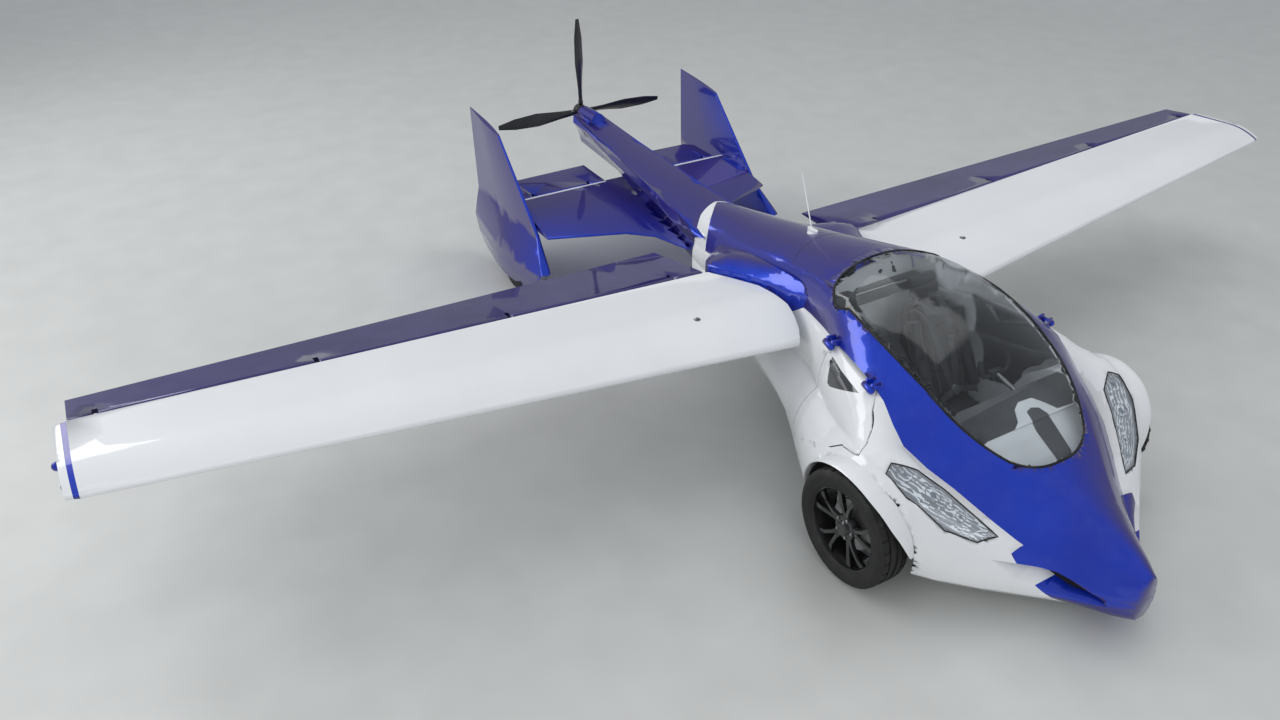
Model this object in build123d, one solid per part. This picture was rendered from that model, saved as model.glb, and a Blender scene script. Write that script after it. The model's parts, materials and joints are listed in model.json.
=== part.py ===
from build123d import *
import math
import os

os.makedirs("parts", exist_ok=True)

# Overall sizes, millimetres
# X runs across with plus at the vehicle's left, stations Y count back from the nose tip, Z is up from the floor.
WALL = 34.0
GLASS = 8.0
DOOR_GAP = 6.0
FIT = 0.05
SEAT_GAP = 0.3

FRONT_AXLE_Y = 1038.0
FRONT_WHEEL_X = 881.0
FRONT_R = 313.0
FRONT_W = 186.0
FRONT_RIM_R = 222.0
ARCH_R = 352.0
ARCH_SKIN = 16.0
ARCH_INNER_X = 610.0
KING_X = 838.0
KING_R = 15.0
KING_HALF = 165.0
ARM_RISE = 150.0
DISC_R = 135.0
FRONT_STUB_R = 32.0

REAR_AXLE_Y = 4800.0
REAR_WHEEL_X = 1024.0
REAR_R = 180.0
REAR_W = 90.0
REAR_RIM_R = 104.0
REAR_STUB_R = 14.0

WING_ROOT_X = 446.0
WING_TIP_X = 4080.0
TIP_WIDTH = 56.0
SPAR_R = 36.0
SPAR_Y = 2420.0
SPAR_ROOT_Z = 792.0
SPAR_RISE = 0.0515
SPAR_IN_X = 250.0
SPAR_OUT_X = 1100.0
FLAP_GAP = 6.5
FLAP_IN_X = 612.0
LUG_T = 14.0
PIN_R = 5.0

TAIL_Y = 5560.0
HUB_Z = 990.0
PROP_Y = 5627.0
PROP_R = 747.0
SHAFT_R = 22.0
FIN_X = 975.0

NOSE_Y = 12.0
PROP_BACK_Y = PROP_Y + 38.0
ORIGIN_Y = (NOSE_Y + PROP_BACK_Y) / 2


# Small helpers
def box(x0, x1, y0, y1, z0, z1):
    """A box from its six limits."""
    return Pos((x0 + x1) / 2, (y0 + y1) / 2, (z0 + z1) / 2) * Box(x1 - x0, y1 - y0, z1 - z0)


def cyl(a, b, r):
    """A cylinder from point a to point b."""
    d = Vector(*b) - Vector(*a)
    return extrude(Plane(origin=a, z_dir=d) * Circle(r), d.length)


def other_side(shape):
    """The same piece on the vehicle's right."""
    return mirror(shape, about=Plane.YZ)


def both(shape):
    """A piece and its mirror image in one node."""
    return Compound(children=list(shape.solids()) + list(other_side(shape).solids()))


def biggest(shape):
    """The main solid of a cut, without the slivers it leaves."""
    return max(shape.solids(), key=lambda s: s.volume)


def side_prism(points, x0=-1400.0, x1=1400.0):
    """A prism across the vehicle from a side view outline of (y, z) points."""
    face = make_face(Polyline(*points, close=True))
    return extrude(Plane.YZ.offset(x0) * face, x1 - x0)


def plan_prism(points, z0, z1):
    """An upright prism from a top view outline of (x, y) points."""
    return extrude(Plane.XY.offset(z0) * make_face(Polyline(*points, close=True)), z1 - z0)


def save(shape, name):
    """Write one node, moved so that the origin is under the middle of the whole vehicle."""
    solids = [Pos(0, -ORIGIN_Y, 0) * s for s in shape.solids()]
    out = solids[0] if len(solids) == 1 else Compound(children=solids)
    print(name, len(solids), round(sum(s.volume for s in solids) / 1e6, 2), all(s.is_valid for s in solids))
    export_step(out, "parts/" + name + ".step")


# Body
# Columns: station, underside z and half width, widest x and z, fender crest x and z, shoulder x and z on the
# line between the two colours, roof edge x and z, top z on the centre line.
BODY = [
    (NOSE_Y, 112, 30, 62, 178, 66, 228, 60, 270, 42, 340, 366),
    (90, 108, 95, 150, 180, 150, 232, 134, 275, 72, 378, 408),
    (240, 112, 180, 275, 178, 258, 232, 226, 290, 122, 436, 480),
    (480, 115, 400, 575, 205, 520, 350, 372, 405, 212, 545, 578),
    (760, 118, 600, 868, 245, 790, 590, 532, 585, 350, 716, 762),
    (1020, 125, 640, 985, 330, 848, 722, 628, 705, 440, 866, 948),
    (1200, 132, 640, 965, 315, 800, 705, 618, 862, 462, 950, 1040),
    (1400, 140, 590, 890, 310, 722, 655, 590, 918, 466, 1022, 1118),
    (1650, 150, 510, 775, 370, 630, 655, 535, 922, 428, 1085, 1166),
    (1900, 162, 430, 655, 420, 496, 635, 440, 892, 376, 1108, 1186),
    (2200, 180, 350, 560, 455, 420, 620, 368, 872, 322, 1066, 1150),
    (2500, 205, 290, 485, 470, 400, 615, 350, 850, 282, 1008, 1092),
    (3050, 290, 205, 385, 495, 345, 605, 305, 765, 222, 915, 990),
    (3450, 390, 150, 300, 520, 284, 615, 262, 700, 196, 836, 930),
    (3650, 450, 120, 252, 540, 240, 620, 226, 690, 168, 806, 900),
]
BOWS = (0.10, 0.14, 0.10, 0.05)


def faired(rows):
    """The rows with one more between each two, on smooth curves through all of them."""
    def slope(i, k):
        a, b = max(i - 1, 0), min(i + 1, len(rows) - 1)
        return (rows[b][k] - rows[a][k]) / (rows[b][0] - rows[a][0])

    out = []
    for i in range(len(rows) - 1):
        step = rows[i + 1][0] - rows[i][0]
        mid = [rows[i][0] + step / 2]
        for k in range(1, len(rows[i])):
            mid.append((rows[i][k] + rows[i + 1][k]) / 2 + step / 8 * (slope(i, k) - slope(i + 1, k)))
        out += [rows[i], tuple(mid)]
    return out + [rows[-1]]


def bowed(a, b, share):
    """The middle of an arc from a to b that bows outward by a share of its length."""
    return ((a[0] + b[0]) / 2 + (b[1] - a[1]) * share, (a[1] + b[1]) / 2 - (b[0] - a[0]) * share)


def body_section(row, inset):
    """One closed section of the body, moved inward by inset."""
    y, zb, xb, xw, zw, xc, zc, xs, zs, xe, ze, zt = row
    points = [
        (xb - inset * 0.4, zb + inset),
        (xw - inset, zw + inset * 0.2),
        (xc - inset * 0.9, zc - inset * 0.3),
        (xs - inset * 0.9, zs - inset * 0.5),
        (xe - inset * 0.6, ze - inset * 0.8),
    ]
    edges = []
    for side in (1, -1):
        def at(p):
            return (p[0] * side, y, p[1])
        for a, b, share in zip(points, points[1:], BOWS):
            edges.append(ThreePointArc(at(a), at(bowed(a, b, share)), at(b)))
    left, right = points[0], points[-1]
    edges.append(Line((-left[0], y, left[1]), (left[0], y, left[1])))
    edges.append(ThreePointArc((right[0], y, right[1]), (0, y, zt - inset), (-right[0], y, right[1])))
    return Wire(edges)


FAIRED = faired(BODY)


def body_loft(inset, first_y=None):
    """The body's form, moved inward by inset, from a station on."""
    rows = [r for r in FAIRED if first_y is None or r[0] >= first_y]
    return Solid.make_loft([body_section(r, inset) for r in rows], ruled=True)


outer = body_loft(0)
room = body_loft(WALL, 480)
lining = body_loft(WALL + SEAT_GAP, 480)
under_glass = body_loft(GLASS)

# The colour line: all above the shoulders, and the nose ahead of a slanted line, is one piece.
SLANT_OUT = 600.0
SLANT_UP = 420.0
NOSE_CAP = [(-200, -50), (205, -50), (240, 150), (450, 372), (450, 1000), (-200, 1000)]


def above_shoulders():
    wires = []
    rows = [(-200,) + FAIRED[0][1:]] + FAIRED[1:-1] + [(3900,) + FAIRED[-1][1:]]
    for row in rows:
        y, xs, zs = row[0], row[7], row[8]
        wires.append(Wire.make_polygon([
            (-xs - SLANT_OUT, y, zs + SLANT_UP), (-xs, y, zs), (xs, y, zs), (xs + SLANT_OUT, y, zs + SLANT_UP),
            (xs + SLANT_OUT, y, zs + 1500), (-xs - SLANT_OUT, y, zs + 1500)], close=True))
    return Solid.make_loft(wires, ruled=True)


top_space = above_shoulders() + side_prism(NOSE_CAP)

# The body ends in a point seen from above, and a pale panel closes it round the boom.
BODY_END = [(-1100, -300), (1100, -300), (1100, 2480), (365, 3215), (0, 3585), (-365, 3215), (-1100, 2480)]
PANEL_END = [(-1100, -300), (1100, -300), (1100, 2504), (372, 3225), (345, 3340), (285, 3450), (150, 3560), (0, 3602),
             (-150, 3560), (-285, 3450), (-345, 3340), (-372, 3225), (-1100, 2504)]
body_space = plan_prism(BODY_END, -100, 1600)
panel_space = plan_prism(PANEL_END, -100, 1600) - body_space

# Wheel housings
arches = None
arch_skins = None
for s in (1, -1):
    hole = cyl((s * ARCH_INNER_X, FRONT_AXLE_Y, FRONT_R), (s * 1200, FRONT_AXLE_Y, FRONT_R), ARCH_R)
    skin = cyl((s * (ARCH_INNER_X - ARCH_SKIN), FRONT_AXLE_Y, FRONT_R), (s * 1200, FRONT_AXLE_Y, FRONT_R),
               ARCH_R + ARCH_SKIN)
    low = box(min(s * ARCH_INNER_X, s * 1200), max(s * ARCH_INNER_X, s * 1200), FRONT_AXLE_Y - 300,
              FRONT_AXLE_Y + ARCH_R, -50, FRONT_R - 60)
    arches = hole + low if arches is None else arches + hole + low
    arch_skins = skin if arch_skins is None else arch_skins + skin
cabin = lining - Compound(children=[cyl((s * (ARCH_INNER_X - ARCH_SKIN - SEAT_GAP), FRONT_AXLE_Y, FRONT_R),
                                        (s * 1200, FRONT_AXLE_Y, FRONT_R), ARCH_R + ARCH_SKIN + SEAT_GAP)
                                    for s in (1, -1)])

# Doors
# The hinge line lies just outside the skin along the top edge, and the outline is in side view.
HINGE_A = Vector(640, 1280, 892)
HINGE_B = Vector(566, 1715, 924)
HINGE_PIN_R = 6.0
HINGE_STATIONS = (20, 415)
hinge_dir = (HINGE_B - HINGE_A).normalized()
out_dir = (Vector(1, 0, 0) - hinge_dir * hinge_dir.X).normalized()
door_plane = Plane(origin=HINGE_A, x_dir=hinge_dir, z_dir=out_dir)


def on_door(y, z):
    """A side view point in the door plane's own two directions."""
    u, v = door_plane.x_dir, door_plane.y_dir
    dy, dz = y - HINGE_A.Y, z - HINGE_A.Z
    det = u.Y * v.Z - u.Z * v.Y
    return ((dy * v.Z - dz * v.Y) / det, (dz * u.Y - dy * u.Z) / det)


DOOR_LINE = [(1280, 894), (1070, 742), (1046, 700), (1200, 655), (1330, 550), (1408, 400), (1425, 280), (1690, 300),
             (1712, 600), (1715, 926)]
WINDOW_LINE = [(1325, 852), (1548, 758), (1580, 758), (1648, 872)]
door_points = [on_door(*p) for p in DOOR_LINE]
window_points = [on_door(*p) for p in WINDOW_LINE]


def door_prism(points, grow):
    face = make_face(Polyline(*points, close=True))
    if grow:
        face = offset(face, amount=grow, kind=Kind.INTERSECTION)
    return extrude(door_plane * Pos(0, 0, -260) * face, 460)


door_hole = door_prism(door_points, 0)
window_hole = door_prism(window_points, 0)
door = (door_prism(door_points, -DOOR_GAP) & (outer - room)) - window_hole
door = biggest(door)
side_glass = biggest((outer - under_glass) & window_hole)

door_hinge = None
body_hinge = None
for along_line in HINGE_STATIONS:
    c = HINGE_A + hinge_dir * along_line
    pin = cyl(c - hinge_dir * 33, c + hinge_dir * 33, HINGE_PIN_R) + cyl(c - hinge_dir * 12, c + hinge_dir * 12, 11)
    arm = extrude(Plane(origin=c - hinge_dir * 12, x_dir=out_dir, z_dir=hinge_dir) * Pos(-20, 26) * Rectangle(34, 48), 24)
    door_hinge = pin + arm if door_hinge is None else door_hinge + pin + arm
    for k in (-1, 1):
        e = c + hinge_dir * k * 25
        foot = extrude(Plane(origin=e - hinge_dir * 7, x_dir=out_dir, z_dir=hinge_dir) * Pos(-27, -18)
                       * Rectangle(54, 32), 14)
        lug = cyl(e - hinge_dir * 7, e + hinge_dir * 7, 12) + foot
        lug = lug - cyl(e - hinge_dir * 20, e + hinge_dir * 20, HINGE_PIN_R + FIT)
        body_hinge = lug if body_hinge is None else body_hinge + lug
for along_line in HINGE_STATIONS:
    c = HINGE_A + hinge_dir * along_line
    for k in (-1, 1):
        door = door - cyl(c + hinge_dir * (k * 25 - 12), c + hinge_dir * (k * 25 + 12), 17)
door = biggest(door)

# The front edge is thinned from inside, so that it swings out past the fender.
edge_wall = (outer - room) & side_prism([(900, 600), (1060, 600), (1330, 850), (1330, 960), (900, 960)], 300, 1200)
edge_wall = edge_wall - door_prism(door_points, -(DOOR_GAP - 1))
swing = Axis(tuple(HINGE_A), tuple(hinge_dir))
for angle in (3, 7, 11, 15, 20, 26, 33):
    door = door - edge_wall.rotate(swing, angle)

# The rear top corner is shortened from inside, so that it swings up past the pillar.
PILLAR_PASS = 12.5
door = door - door_plane * Pos((HINGE_B - HINGE_A).length, -17.5, -85) * Box(2 * PILLAR_PASS, 55, 70)
door = biggest(biggest(door) + door_hinge)

# Windshield, cut from the same form: top view arcs as start, through and end points of half width and station.
SCREEN_ARCS = [
    ((0, 594), (150, 616), (262, 684)),
    ((262, 684), (385, 880), (440, 1120)),
    ((440, 1120), (463, 1400), (430, 1720)),
    ((430, 1720), (395, 1885), (290, 1958)),
    ((290, 1958), (150, 1982), (0, 1986)),
]
screen_edges = []
for side in (1, -1):
    for a, m, b in SCREEN_ARCS:
        screen_edges.append(ThreePointArc((a[0] * side, a[1]), (m[0] * side, m[1]), (b[0] * side, b[1])))
screen_prism = extrude(Plane.XY.offset(500) * make_face(Wire(screen_edges)), 1000)
windshield = biggest((outer - under_glass) & screen_prism)

# Headlights: clear covers let into the fenders.
LAMP_DEPTH = 22.0
LAMP_OUTLINE = [(452, 520), (560, 705), (662, 885), (770, 955), (828, 925), (800, 800), (690, 640), (560, 545)]
lamp_ring = (outer - body_loft(LAMP_DEPTH)) & plan_prism(LAMP_OUTLINE, 420, 1000)
lamp = biggest(lamp_ring - arch_skins)

# Nose slots: a dark insert stands back in a cut on each flank of the nose.
SLOT_OUTLINE = [(486, 352), (300, 306), (105, 222), (92, 196), (270, 214), (400, 280)]
SLOT_DEPTH = 62.0
INSERT_T = 14.0
slot_prism = side_prism(SLOT_OUTLINE, 0, 900)


def behind(shift):
    """The space outside a line that runs along the nose flank, shift millimetres inside the skin."""
    return plan_prism([(98 - shift, 60), (236 - shift, 240), (392 - shift, 520), (900, 520), (900, 60)], 0, 700)


slot_cut = slot_prism & behind(SLOT_DEPTH)
insert = slot_prism & (behind(SLOT_DEPTH) - behind(SLOT_DEPTH - INSERT_T))
insert = biggest(insert & body_loft(4))

# Wing spars pass through the body sides.
spar_in = (SPAR_IN_X, SPAR_Y, SPAR_ROOT_Z + (SPAR_IN_X - WING_ROOT_X) * SPAR_RISE)
spar_out = (SPAR_OUT_X, SPAR_Y, SPAR_ROOT_Z + (SPAR_OUT_X - WING_ROOT_X) * SPAR_RISE)
spar = cyl(spar_in, spar_out, SPAR_R)

# The two halves of the body shell.
shell = outer - (room - arch_skins) - arches - screen_prism - door_hole - other_side(door_hole)
shell = (shell - lamp - other_side(lamp) - slot_cut - other_side(slot_cut) - spar - other_side(spar)) & body_space
barrels = Compound(children=[cyl(HINGE_A + hinge_dir * (a - 15), HINGE_A + hinge_dir * (a + 15), 17)
                             for a in HINGE_STATIONS])
shell = shell - barrels - other_side(barrels)
upper_body = biggest(biggest(shell & top_space) + body_hinge + other_side(body_hinge))
lower_body = biggest(shell - top_space)

# Tail boom
# Columns: station, top half width, top z, flank half width, flank z, keel half width, keel z.
BOOM = [
    (3300, 250, 785, 262, 690, 120, 440),
    (3640, 222, 800, 236, 712, 104, 430),
    (4100, 186, 842, 200, 770, 84, 520),
    (4900, 140, 918, 150, 862, 62, 720),
    (TAIL_Y, 104, 994, 112, 932, 46, 756),
]


def boom_section(row):
    y, xt, zt, xf, zf, xk, zk = row
    return Wire([
        ThreePointArc((xt, y, zt), (0, y, zt + 8), (-xt, y, zt)),
        Line((-xt, y, zt), (-xf, y, zf)),
        ThreePointArc((-xf, y, zf), (-(xf + xk) / 2 + 12, y, (zf + zk) / 2), (-xk, y, zk)),
        Line((-xk, y, zk), (xk, y, zk)),
        ThreePointArc((xk, y, zk), ((xf + xk) / 2 - 12, y, (zf + zk) / 2), (xf, y, zf)),
        Line((xf, y, zf), (xt, y, zt)),
    ])


boom = Solid.make_loft([boom_section(r) for r in BOOM], ruled=True)
boom_form = boom
housing = cyl((0, TAIL_Y - 240, HUB_Z - 12), (0, TAIL_Y + 6, HUB_Z), 62)
boom = boom + cyl((0, TAIL_Y - 240, HUB_Z), (0, TAIL_Y + 6, HUB_Z), 60)
boom = boom - cyl((0, TAIL_Y - 200, HUB_Z), (0, TAIL_Y + 10, HUB_Z), SHAFT_R + FIT)
boom = biggest(boom - upper_body - lower_body)
rear_fairing = biggest((outer & panel_space) - boom_form)

# Wings
# Leading and trailing edge points at the root and at the tip, thickness as a share of the chord.
ROOT_LE = (WING_ROOT_X, 1930, 775)
ROOT_TE = (WING_ROOT_X, 3424, 735)
TIP_LE = (WING_TIP_X, 2300, 953)
TIP_TE = (WING_TIP_X, 3074, 993)
ROOT_THICK = 0.125
TIP_THICK = 0.11
ROOT_HINGE_Y = 2850.0
TIP_HINGE_Y = 2872.0
# Columns: share of the chord, height over the chord line as a share of the thickness.
AIRFOIL = [(0.0, 0.0), (0.012, 0.19), (0.10, 0.48), (0.33, 0.66), (0.60, 0.56), (1.0, 0.03)]
UNDER = 0.5


def rise(share):
    for (a, u), (b, v) in zip(AIRFOIL, AIRFOIL[1:]):
        if share <= b:
            return u + (v - u) * (share - a) / (b - a)
    return AIRFOIL[-1][1]


class Rib:
    """The wing's section at one distance x from the centre line."""

    def __init__(self, x):
        t = (x - WING_ROOT_X) / (WING_TIP_X - WING_ROOT_X)
        self.x = x
        self.le = [p + (q - p) * t for p, q in zip(ROOT_LE, TIP_LE)]
        self.te = [p + (q - p) * t for p, q in zip(ROOT_TE, TIP_TE)]
        self.thick = ROOT_THICK + (TIP_THICK - ROOT_THICK) * t
        self.chord = self.te[1] - self.le[1]
        self.hinge_y = ROOT_HINGE_Y + (TIP_HINGE_Y - ROOT_HINGE_Y) * t
        share = (self.hinge_y - self.le[1]) / self.chord
        top, low = self.at(share, 1)[2], self.at(share, -UNDER)[2]
        self.hinge = (x, self.hinge_y, (top + low) / 2)
        self.nose_r = (top - low) / 2

    def lined_up(self, a, b):
        """The rib with its hinge on the straight line between two others."""
        t = (self.x - a.x) / (b.x - a.x)
        self.hinge = tuple(p + (q - p) * t for p, q in zip(a.hinge, b.hinge))
        self.nose_r = a.nose_r + (b.nose_r - a.nose_r) * t
        return self

    def at(self, share, side):
        z = self.le[2] + (self.te[2] - self.le[2]) * share + rise(share) * self.thick * self.chord * side
        return (self.x, self.le[1] + self.chord * share, z)

    def front(self, back_top, back_low):
        """Edges from the underside round the nose and over the top."""
        return [
            Line(back_low, self.at(0.33, -UNDER)),
            ThreePointArc(self.at(0.33, -UNDER), self.at(0.10, -UNDER), self.at(0.012, -UNDER)),
            ThreePointArc(self.at(0.012, -UNDER), self.at(0, 1), self.at(0.012, 1)),
            ThreePointArc(self.at(0.012, 1), self.at(0.10, 1), self.at(0.33, 1)),
            Line(self.at(0.33, 1), back_top),
        ]

    def panel(self):
        """The main panel, with a hollow back edge round the flap's nose."""
        r = self.nose_r + FLAP_GAP
        reach = math.sqrt(r * r - self.nose_r ** 2)
        x, y, z = self.hinge
        top, low = (x, y - reach, z + self.nose_r), (x, y - reach, z - self.nose_r)
        return Wire(self.front(top, low) + [ThreePointArc(top, (x, y - r, z), low)])

    def flap(self):
        x, y, z = self.hinge
        r = self.nose_r
        return Wire([
            ThreePointArc((x, y, z - r), (x, y - r, z), (x, y, z + r)),
            Line((x, y, z + r), self.at(1.0, 1)),
            Line(self.at(1.0, 1), self.at(1.0, -UNDER)),
            Line(self.at(1.0, -UNDER), (x, y, z - r)),
        ])

    def cap(self, shrink):
        """The tip's outline ahead of the flap."""
        back = 0.70
        cy, cz = self.le[1] + self.chord * 0.36, (self.le[2] + self.te[2]) / 2

        def q(share, side):
            p = self.at(share, side)
            return (p[0], cy + (p[1] - cy) * shrink, cz + (p[2] - cz) * shrink)

        return Wire([
            Line(q(back, -UNDER), q(0.33, -UNDER)),
            ThreePointArc(q(0.33, -UNDER), q(0.10, -UNDER), q(0.012, -UNDER)),
            ThreePointArc(q(0.012, -UNDER), q(0, 1), q(0.012, 1)),
            ThreePointArc(q(0.012, 1), q(0.10, 1), q(0.33, 1)),
            Line(q(0.33, 1), q(back, 1)),
            Line(q(back, 1), q(back, -UNDER)),
        ])


root, tip_rib = Rib(WING_ROOT_X), Rib(WING_TIP_X)
flap_in, flap_out = Rib(FLAP_IN_X).lined_up(root, tip_rib), Rib(WING_TIP_X - 4).lined_up(root, tip_rib)
wing = Solid.make_loft([root.panel(), tip_rib.panel()], ruled=True)
flap = Solid.make_loft([flap_in.flap(), flap_out.flap()], ruled=True)

# Flap hinges: lugs on the panel, pins across slots in the flap.
FLAP_LUG_X = (820, 1880, 2940, 3960)
flap_line = (Vector(*tip_rib.hinge) - Vector(*root.hinge)).normalized()
for lx in FLAP_LUG_X:
    rib = Rib(lx).lined_up(root, tip_rib)
    c = Vector(*rib.hinge)
    half = flap_line * (LUG_T / 2)
    clear = flap_line * (LUG_T / 2 + FLAP_GAP)
    lug_r = min(rib.nose_r * 0.6, 18)
    arm_len = rib.nose_r + FLAP_GAP + 8
    arm = extrude(Plane(origin=c - half, x_dir=(0, 1, 0), z_dir=flap_line) * Pos(-arm_len / 2, 0, 0)
                  * Rectangle(arm_len, lug_r * 1.6), LUG_T)
    lug = cyl(c - half, c + half, lug_r) + arm - cyl(c - half * 3, c + half * 3, PIN_R + FIT)
    flap = flap - cyl(c - clear, c + clear, rib.nose_r + 14) + cyl(c - clear - half, c + clear + half, PIN_R)
    wing = wing + lug

# The pivot covers, pale blisters in the body colour over the wing roots.
# Columns: station, inner x and z, outer x and z, foot z.
COVER = [
    (2090, 352, 1000, 372, 962, 900),
    (2250, 352, 1000, 404, 928, 800),
    (2450, 340, 982, 418, 915, 790),
    (2680, 318, 952, 505, 905, 800),
    (2830, 300, 924, 572, 893, 806),
    (2960, 288, 888, 500, 862, 790),
    (3130, 276, 838, 326, 812, 740),
]
COVER_CLEAR = 14.0


def cover_section(row):
    y, xi, zi, xo, zo, zf = row
    return Wire([
        ThreePointArc((xi, y, zi), ((xi + xo) / 2, y, (zi + zo) / 2 + (xo - xi) * 0.10), (xo, y, zo)),
        Line((xo, y, zo), (xo, y, zf)),
        Line((xo, y, zf), (xi - 60, y, zf)),
        Line((xi - 60, y, zf), (xi, y, zi)),
    ])


cover = Solid.make_loft([cover_section(r) for r in faired(COVER)], ruled=True)
cover = biggest(cover - body_loft(0) - spar)
root_cut = [(300, 1850), (590, 1850), (560, 1925), (508, 2010), (470, 2110), (WING_ROOT_X, 2200), (WING_ROOT_X, 2480)]
root_cut += [(r[3] + COVER_CLEAR, r[0]) for r in COVER[3:5]] + [(COVER[4][3] + 30, 3000), (300, 3000)]
wing = wing - plan_prism(root_cut, 500, 1200)

# The spar turns in a socket of the wing root, and a tie-down eye hangs under each wing.
TIE_X = 2600.0
TIE_R = 11.0
TIE_T = 10.0
socket_end = (SPAR_OUT_X + 8, SPAR_Y, spar_out[2] + 8 * SPAR_RISE)
wing = wing - cyl(spar_in, socket_end, SPAR_R + FIT)
tie_low = Rib(TIE_X).at(0.33, -UNDER)
tie = cyl((TIE_X - TIE_T / 2, tie_low[1], tie_low[2] - 24), (TIE_X + TIE_T / 2, tie_low[1], tie_low[2] - 24), 24)
tie = tie + box(TIE_X - TIE_T / 2, TIE_X + TIE_T / 2, tie_low[1] - 24, tie_low[1] + 24, tie_low[2] - 24, tie_low[2] + 12)
tie = tie - cyl((TIE_X - TIE_T, tie_low[1], tie_low[2] - 24), (TIE_X + TIE_T, tie_low[1], tie_low[2] - 24), TIE_R)
wing = biggest(wing + tie)
flap = biggest(flap)
tip = Solid.make_loft([tip_rib.cap(1.0), Rib(WING_TIP_X + TIP_WIDTH).cap(0.95)], ruled=True)
tip = tip + Pos(WING_TIP_X + TIP_WIDTH + 12, TIP_LE[1] + 270, TIP_LE[2] + 16) * Sphere(22)

# Tailplane and elevator
TP_HINGE_Y = 4948.0
TP_HINGE_Z = 622.0
TP_TIP_X = FIN_X - 18
EL_GAP = 6.5
EL_IN_X = 165.0
EL_OUT_X = 872.0
# Columns: x, leading edge station and z, half thickness at the hinge.
TAILPLANE = [
    (0, 3560, 552, 27),
    (170, 3700, 550, 27),
    (260, 3980, 556, 27),
    (420, 4130, 560, 26),
    (TP_TIP_X, 4330, 566, 22),
]
EL_TE_Y = 5285.0


def tailplane_section(row):
    x, ley, lez, half = row
    back = TP_HINGE_Y - half - EL_GAP
    mid = (ley + back) / 2
    return Wire([
        ThreePointArc((x, ley + 8, lez - 9), (x, ley, lez), (x, ley + 8, lez + 9)),
        ThreePointArc((x, ley + 8, lez + 9), (x, mid, (lez + TP_HINGE_Z) / 2 + half + 6), (x, back, TP_HINGE_Z + half)),
        Line((x, back, TP_HINGE_Z + half), (x, back, TP_HINGE_Z - half)),
        ThreePointArc((x, back, TP_HINGE_Z - half), (x, mid, (lez + TP_HINGE_Z) / 2 - half - 6), (x, ley + 8, lez - 9)),
    ])


def elevator_section(x, half, te_y, te_z):
    return Wire([
        ThreePointArc((x, TP_HINGE_Y, TP_HINGE_Z - half), (x, TP_HINGE_Y - half, TP_HINGE_Z),
                      (x, TP_HINGE_Y, TP_HINGE_Z + half)),
        Line((x, TP_HINGE_Y, TP_HINGE_Z + half), (x, te_y, te_z + 3)),
        Line((x, te_y, te_z + 3), (x, te_y, te_z - 3)),
        Line((x, te_y, te_z - 3), (x, TP_HINGE_Y, TP_HINGE_Z - half)),
    ])


half_plane = Solid.make_loft([tailplane_section(r) for r in TAILPLANE], ruled=True)
half_elevator = Solid.make_loft([
    elevator_section(EL_IN_X, 26, EL_TE_Y + 8, 652), elevator_section(EL_OUT_X - 70, 23, EL_TE_Y, 648),
    elevator_section(EL_OUT_X, 23, EL_TE_Y - 60, 646)], ruled=True)
for lx in (300, 780):
    c = Vector(lx, TP_HINGE_Y, TP_HINGE_Z)
    half, clear = Vector(LUG_T / 2, 0, 0), Vector(LUG_T / 2 + EL_GAP, 0, 0)
    lug = cyl(c - half, c + half, 13) + box(lx - LUG_T / 2, lx + LUG_T / 2, TP_HINGE_Y - 42, TP_HINGE_Y,
                                           TP_HINGE_Z - 12, TP_HINGE_Z + 12)
    half_plane = half_plane + (lug - cyl(c - half * 3, c + half * 3, PIN_R + FIT))
    half_elevator = half_elevator - cyl(c - clear, c + clear, 40) + cyl(c - clear - half, c + clear + half, PIN_R)
torque_tube = cyl((-EL_IN_X - 5, TP_HINGE_Y, TP_HINGE_Z), (EL_IN_X + 5, TP_HINGE_Y, TP_HINGE_Z), 14)
elevator = half_elevator + other_side(half_elevator) + torque_tube

# Fins with the rear wheel pods
# Columns: z, front station, back station, thickness, middle out from the blade.
FIN = [
    (85, 4560, 5400, 140, 46),
    (190, 4370, 5520, 170, 49),
    (330, 4235, 5570, 178, 50),
    (450, 4362, 5586, 112, 22),
    (540, 4460, 5594, 60, 0),
    (1215, 5150, 5612, 34, 0),
]
FIN_TOP = [(4900, 1106), (5700, 1208), (5700, 1500), (4900, 1500)]


def fin_section(row):
    z, ya, yb, t, out = row
    x, c = FIN_X + out, yb - ya
    nose, belly, knee = ya + c * 0.015, ya + c * 0.33, ya + c * 0.62
    return Wire([
        ThreePointArc((x - t * 0.22, nose, z), (x, ya, z), (x + t * 0.22, nose, z)),
        ThreePointArc((x + t * 0.22, nose, z), (x + t * 0.50, belly, z), (x + t * 0.40, knee, z)),
        Line((x + t * 0.40, knee, z), (x + t * 0.08, yb, z)),
        Line((x + t * 0.08, yb, z), (x - t * 0.08, yb, z)),
        Line((x - t * 0.08, yb, z), (x - t * 0.40, knee, z)),
        ThreePointArc((x - t * 0.40, knee, z), (x - t * 0.50, belly, z), (x - t * 0.22, nose, z)),
    ])


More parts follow.
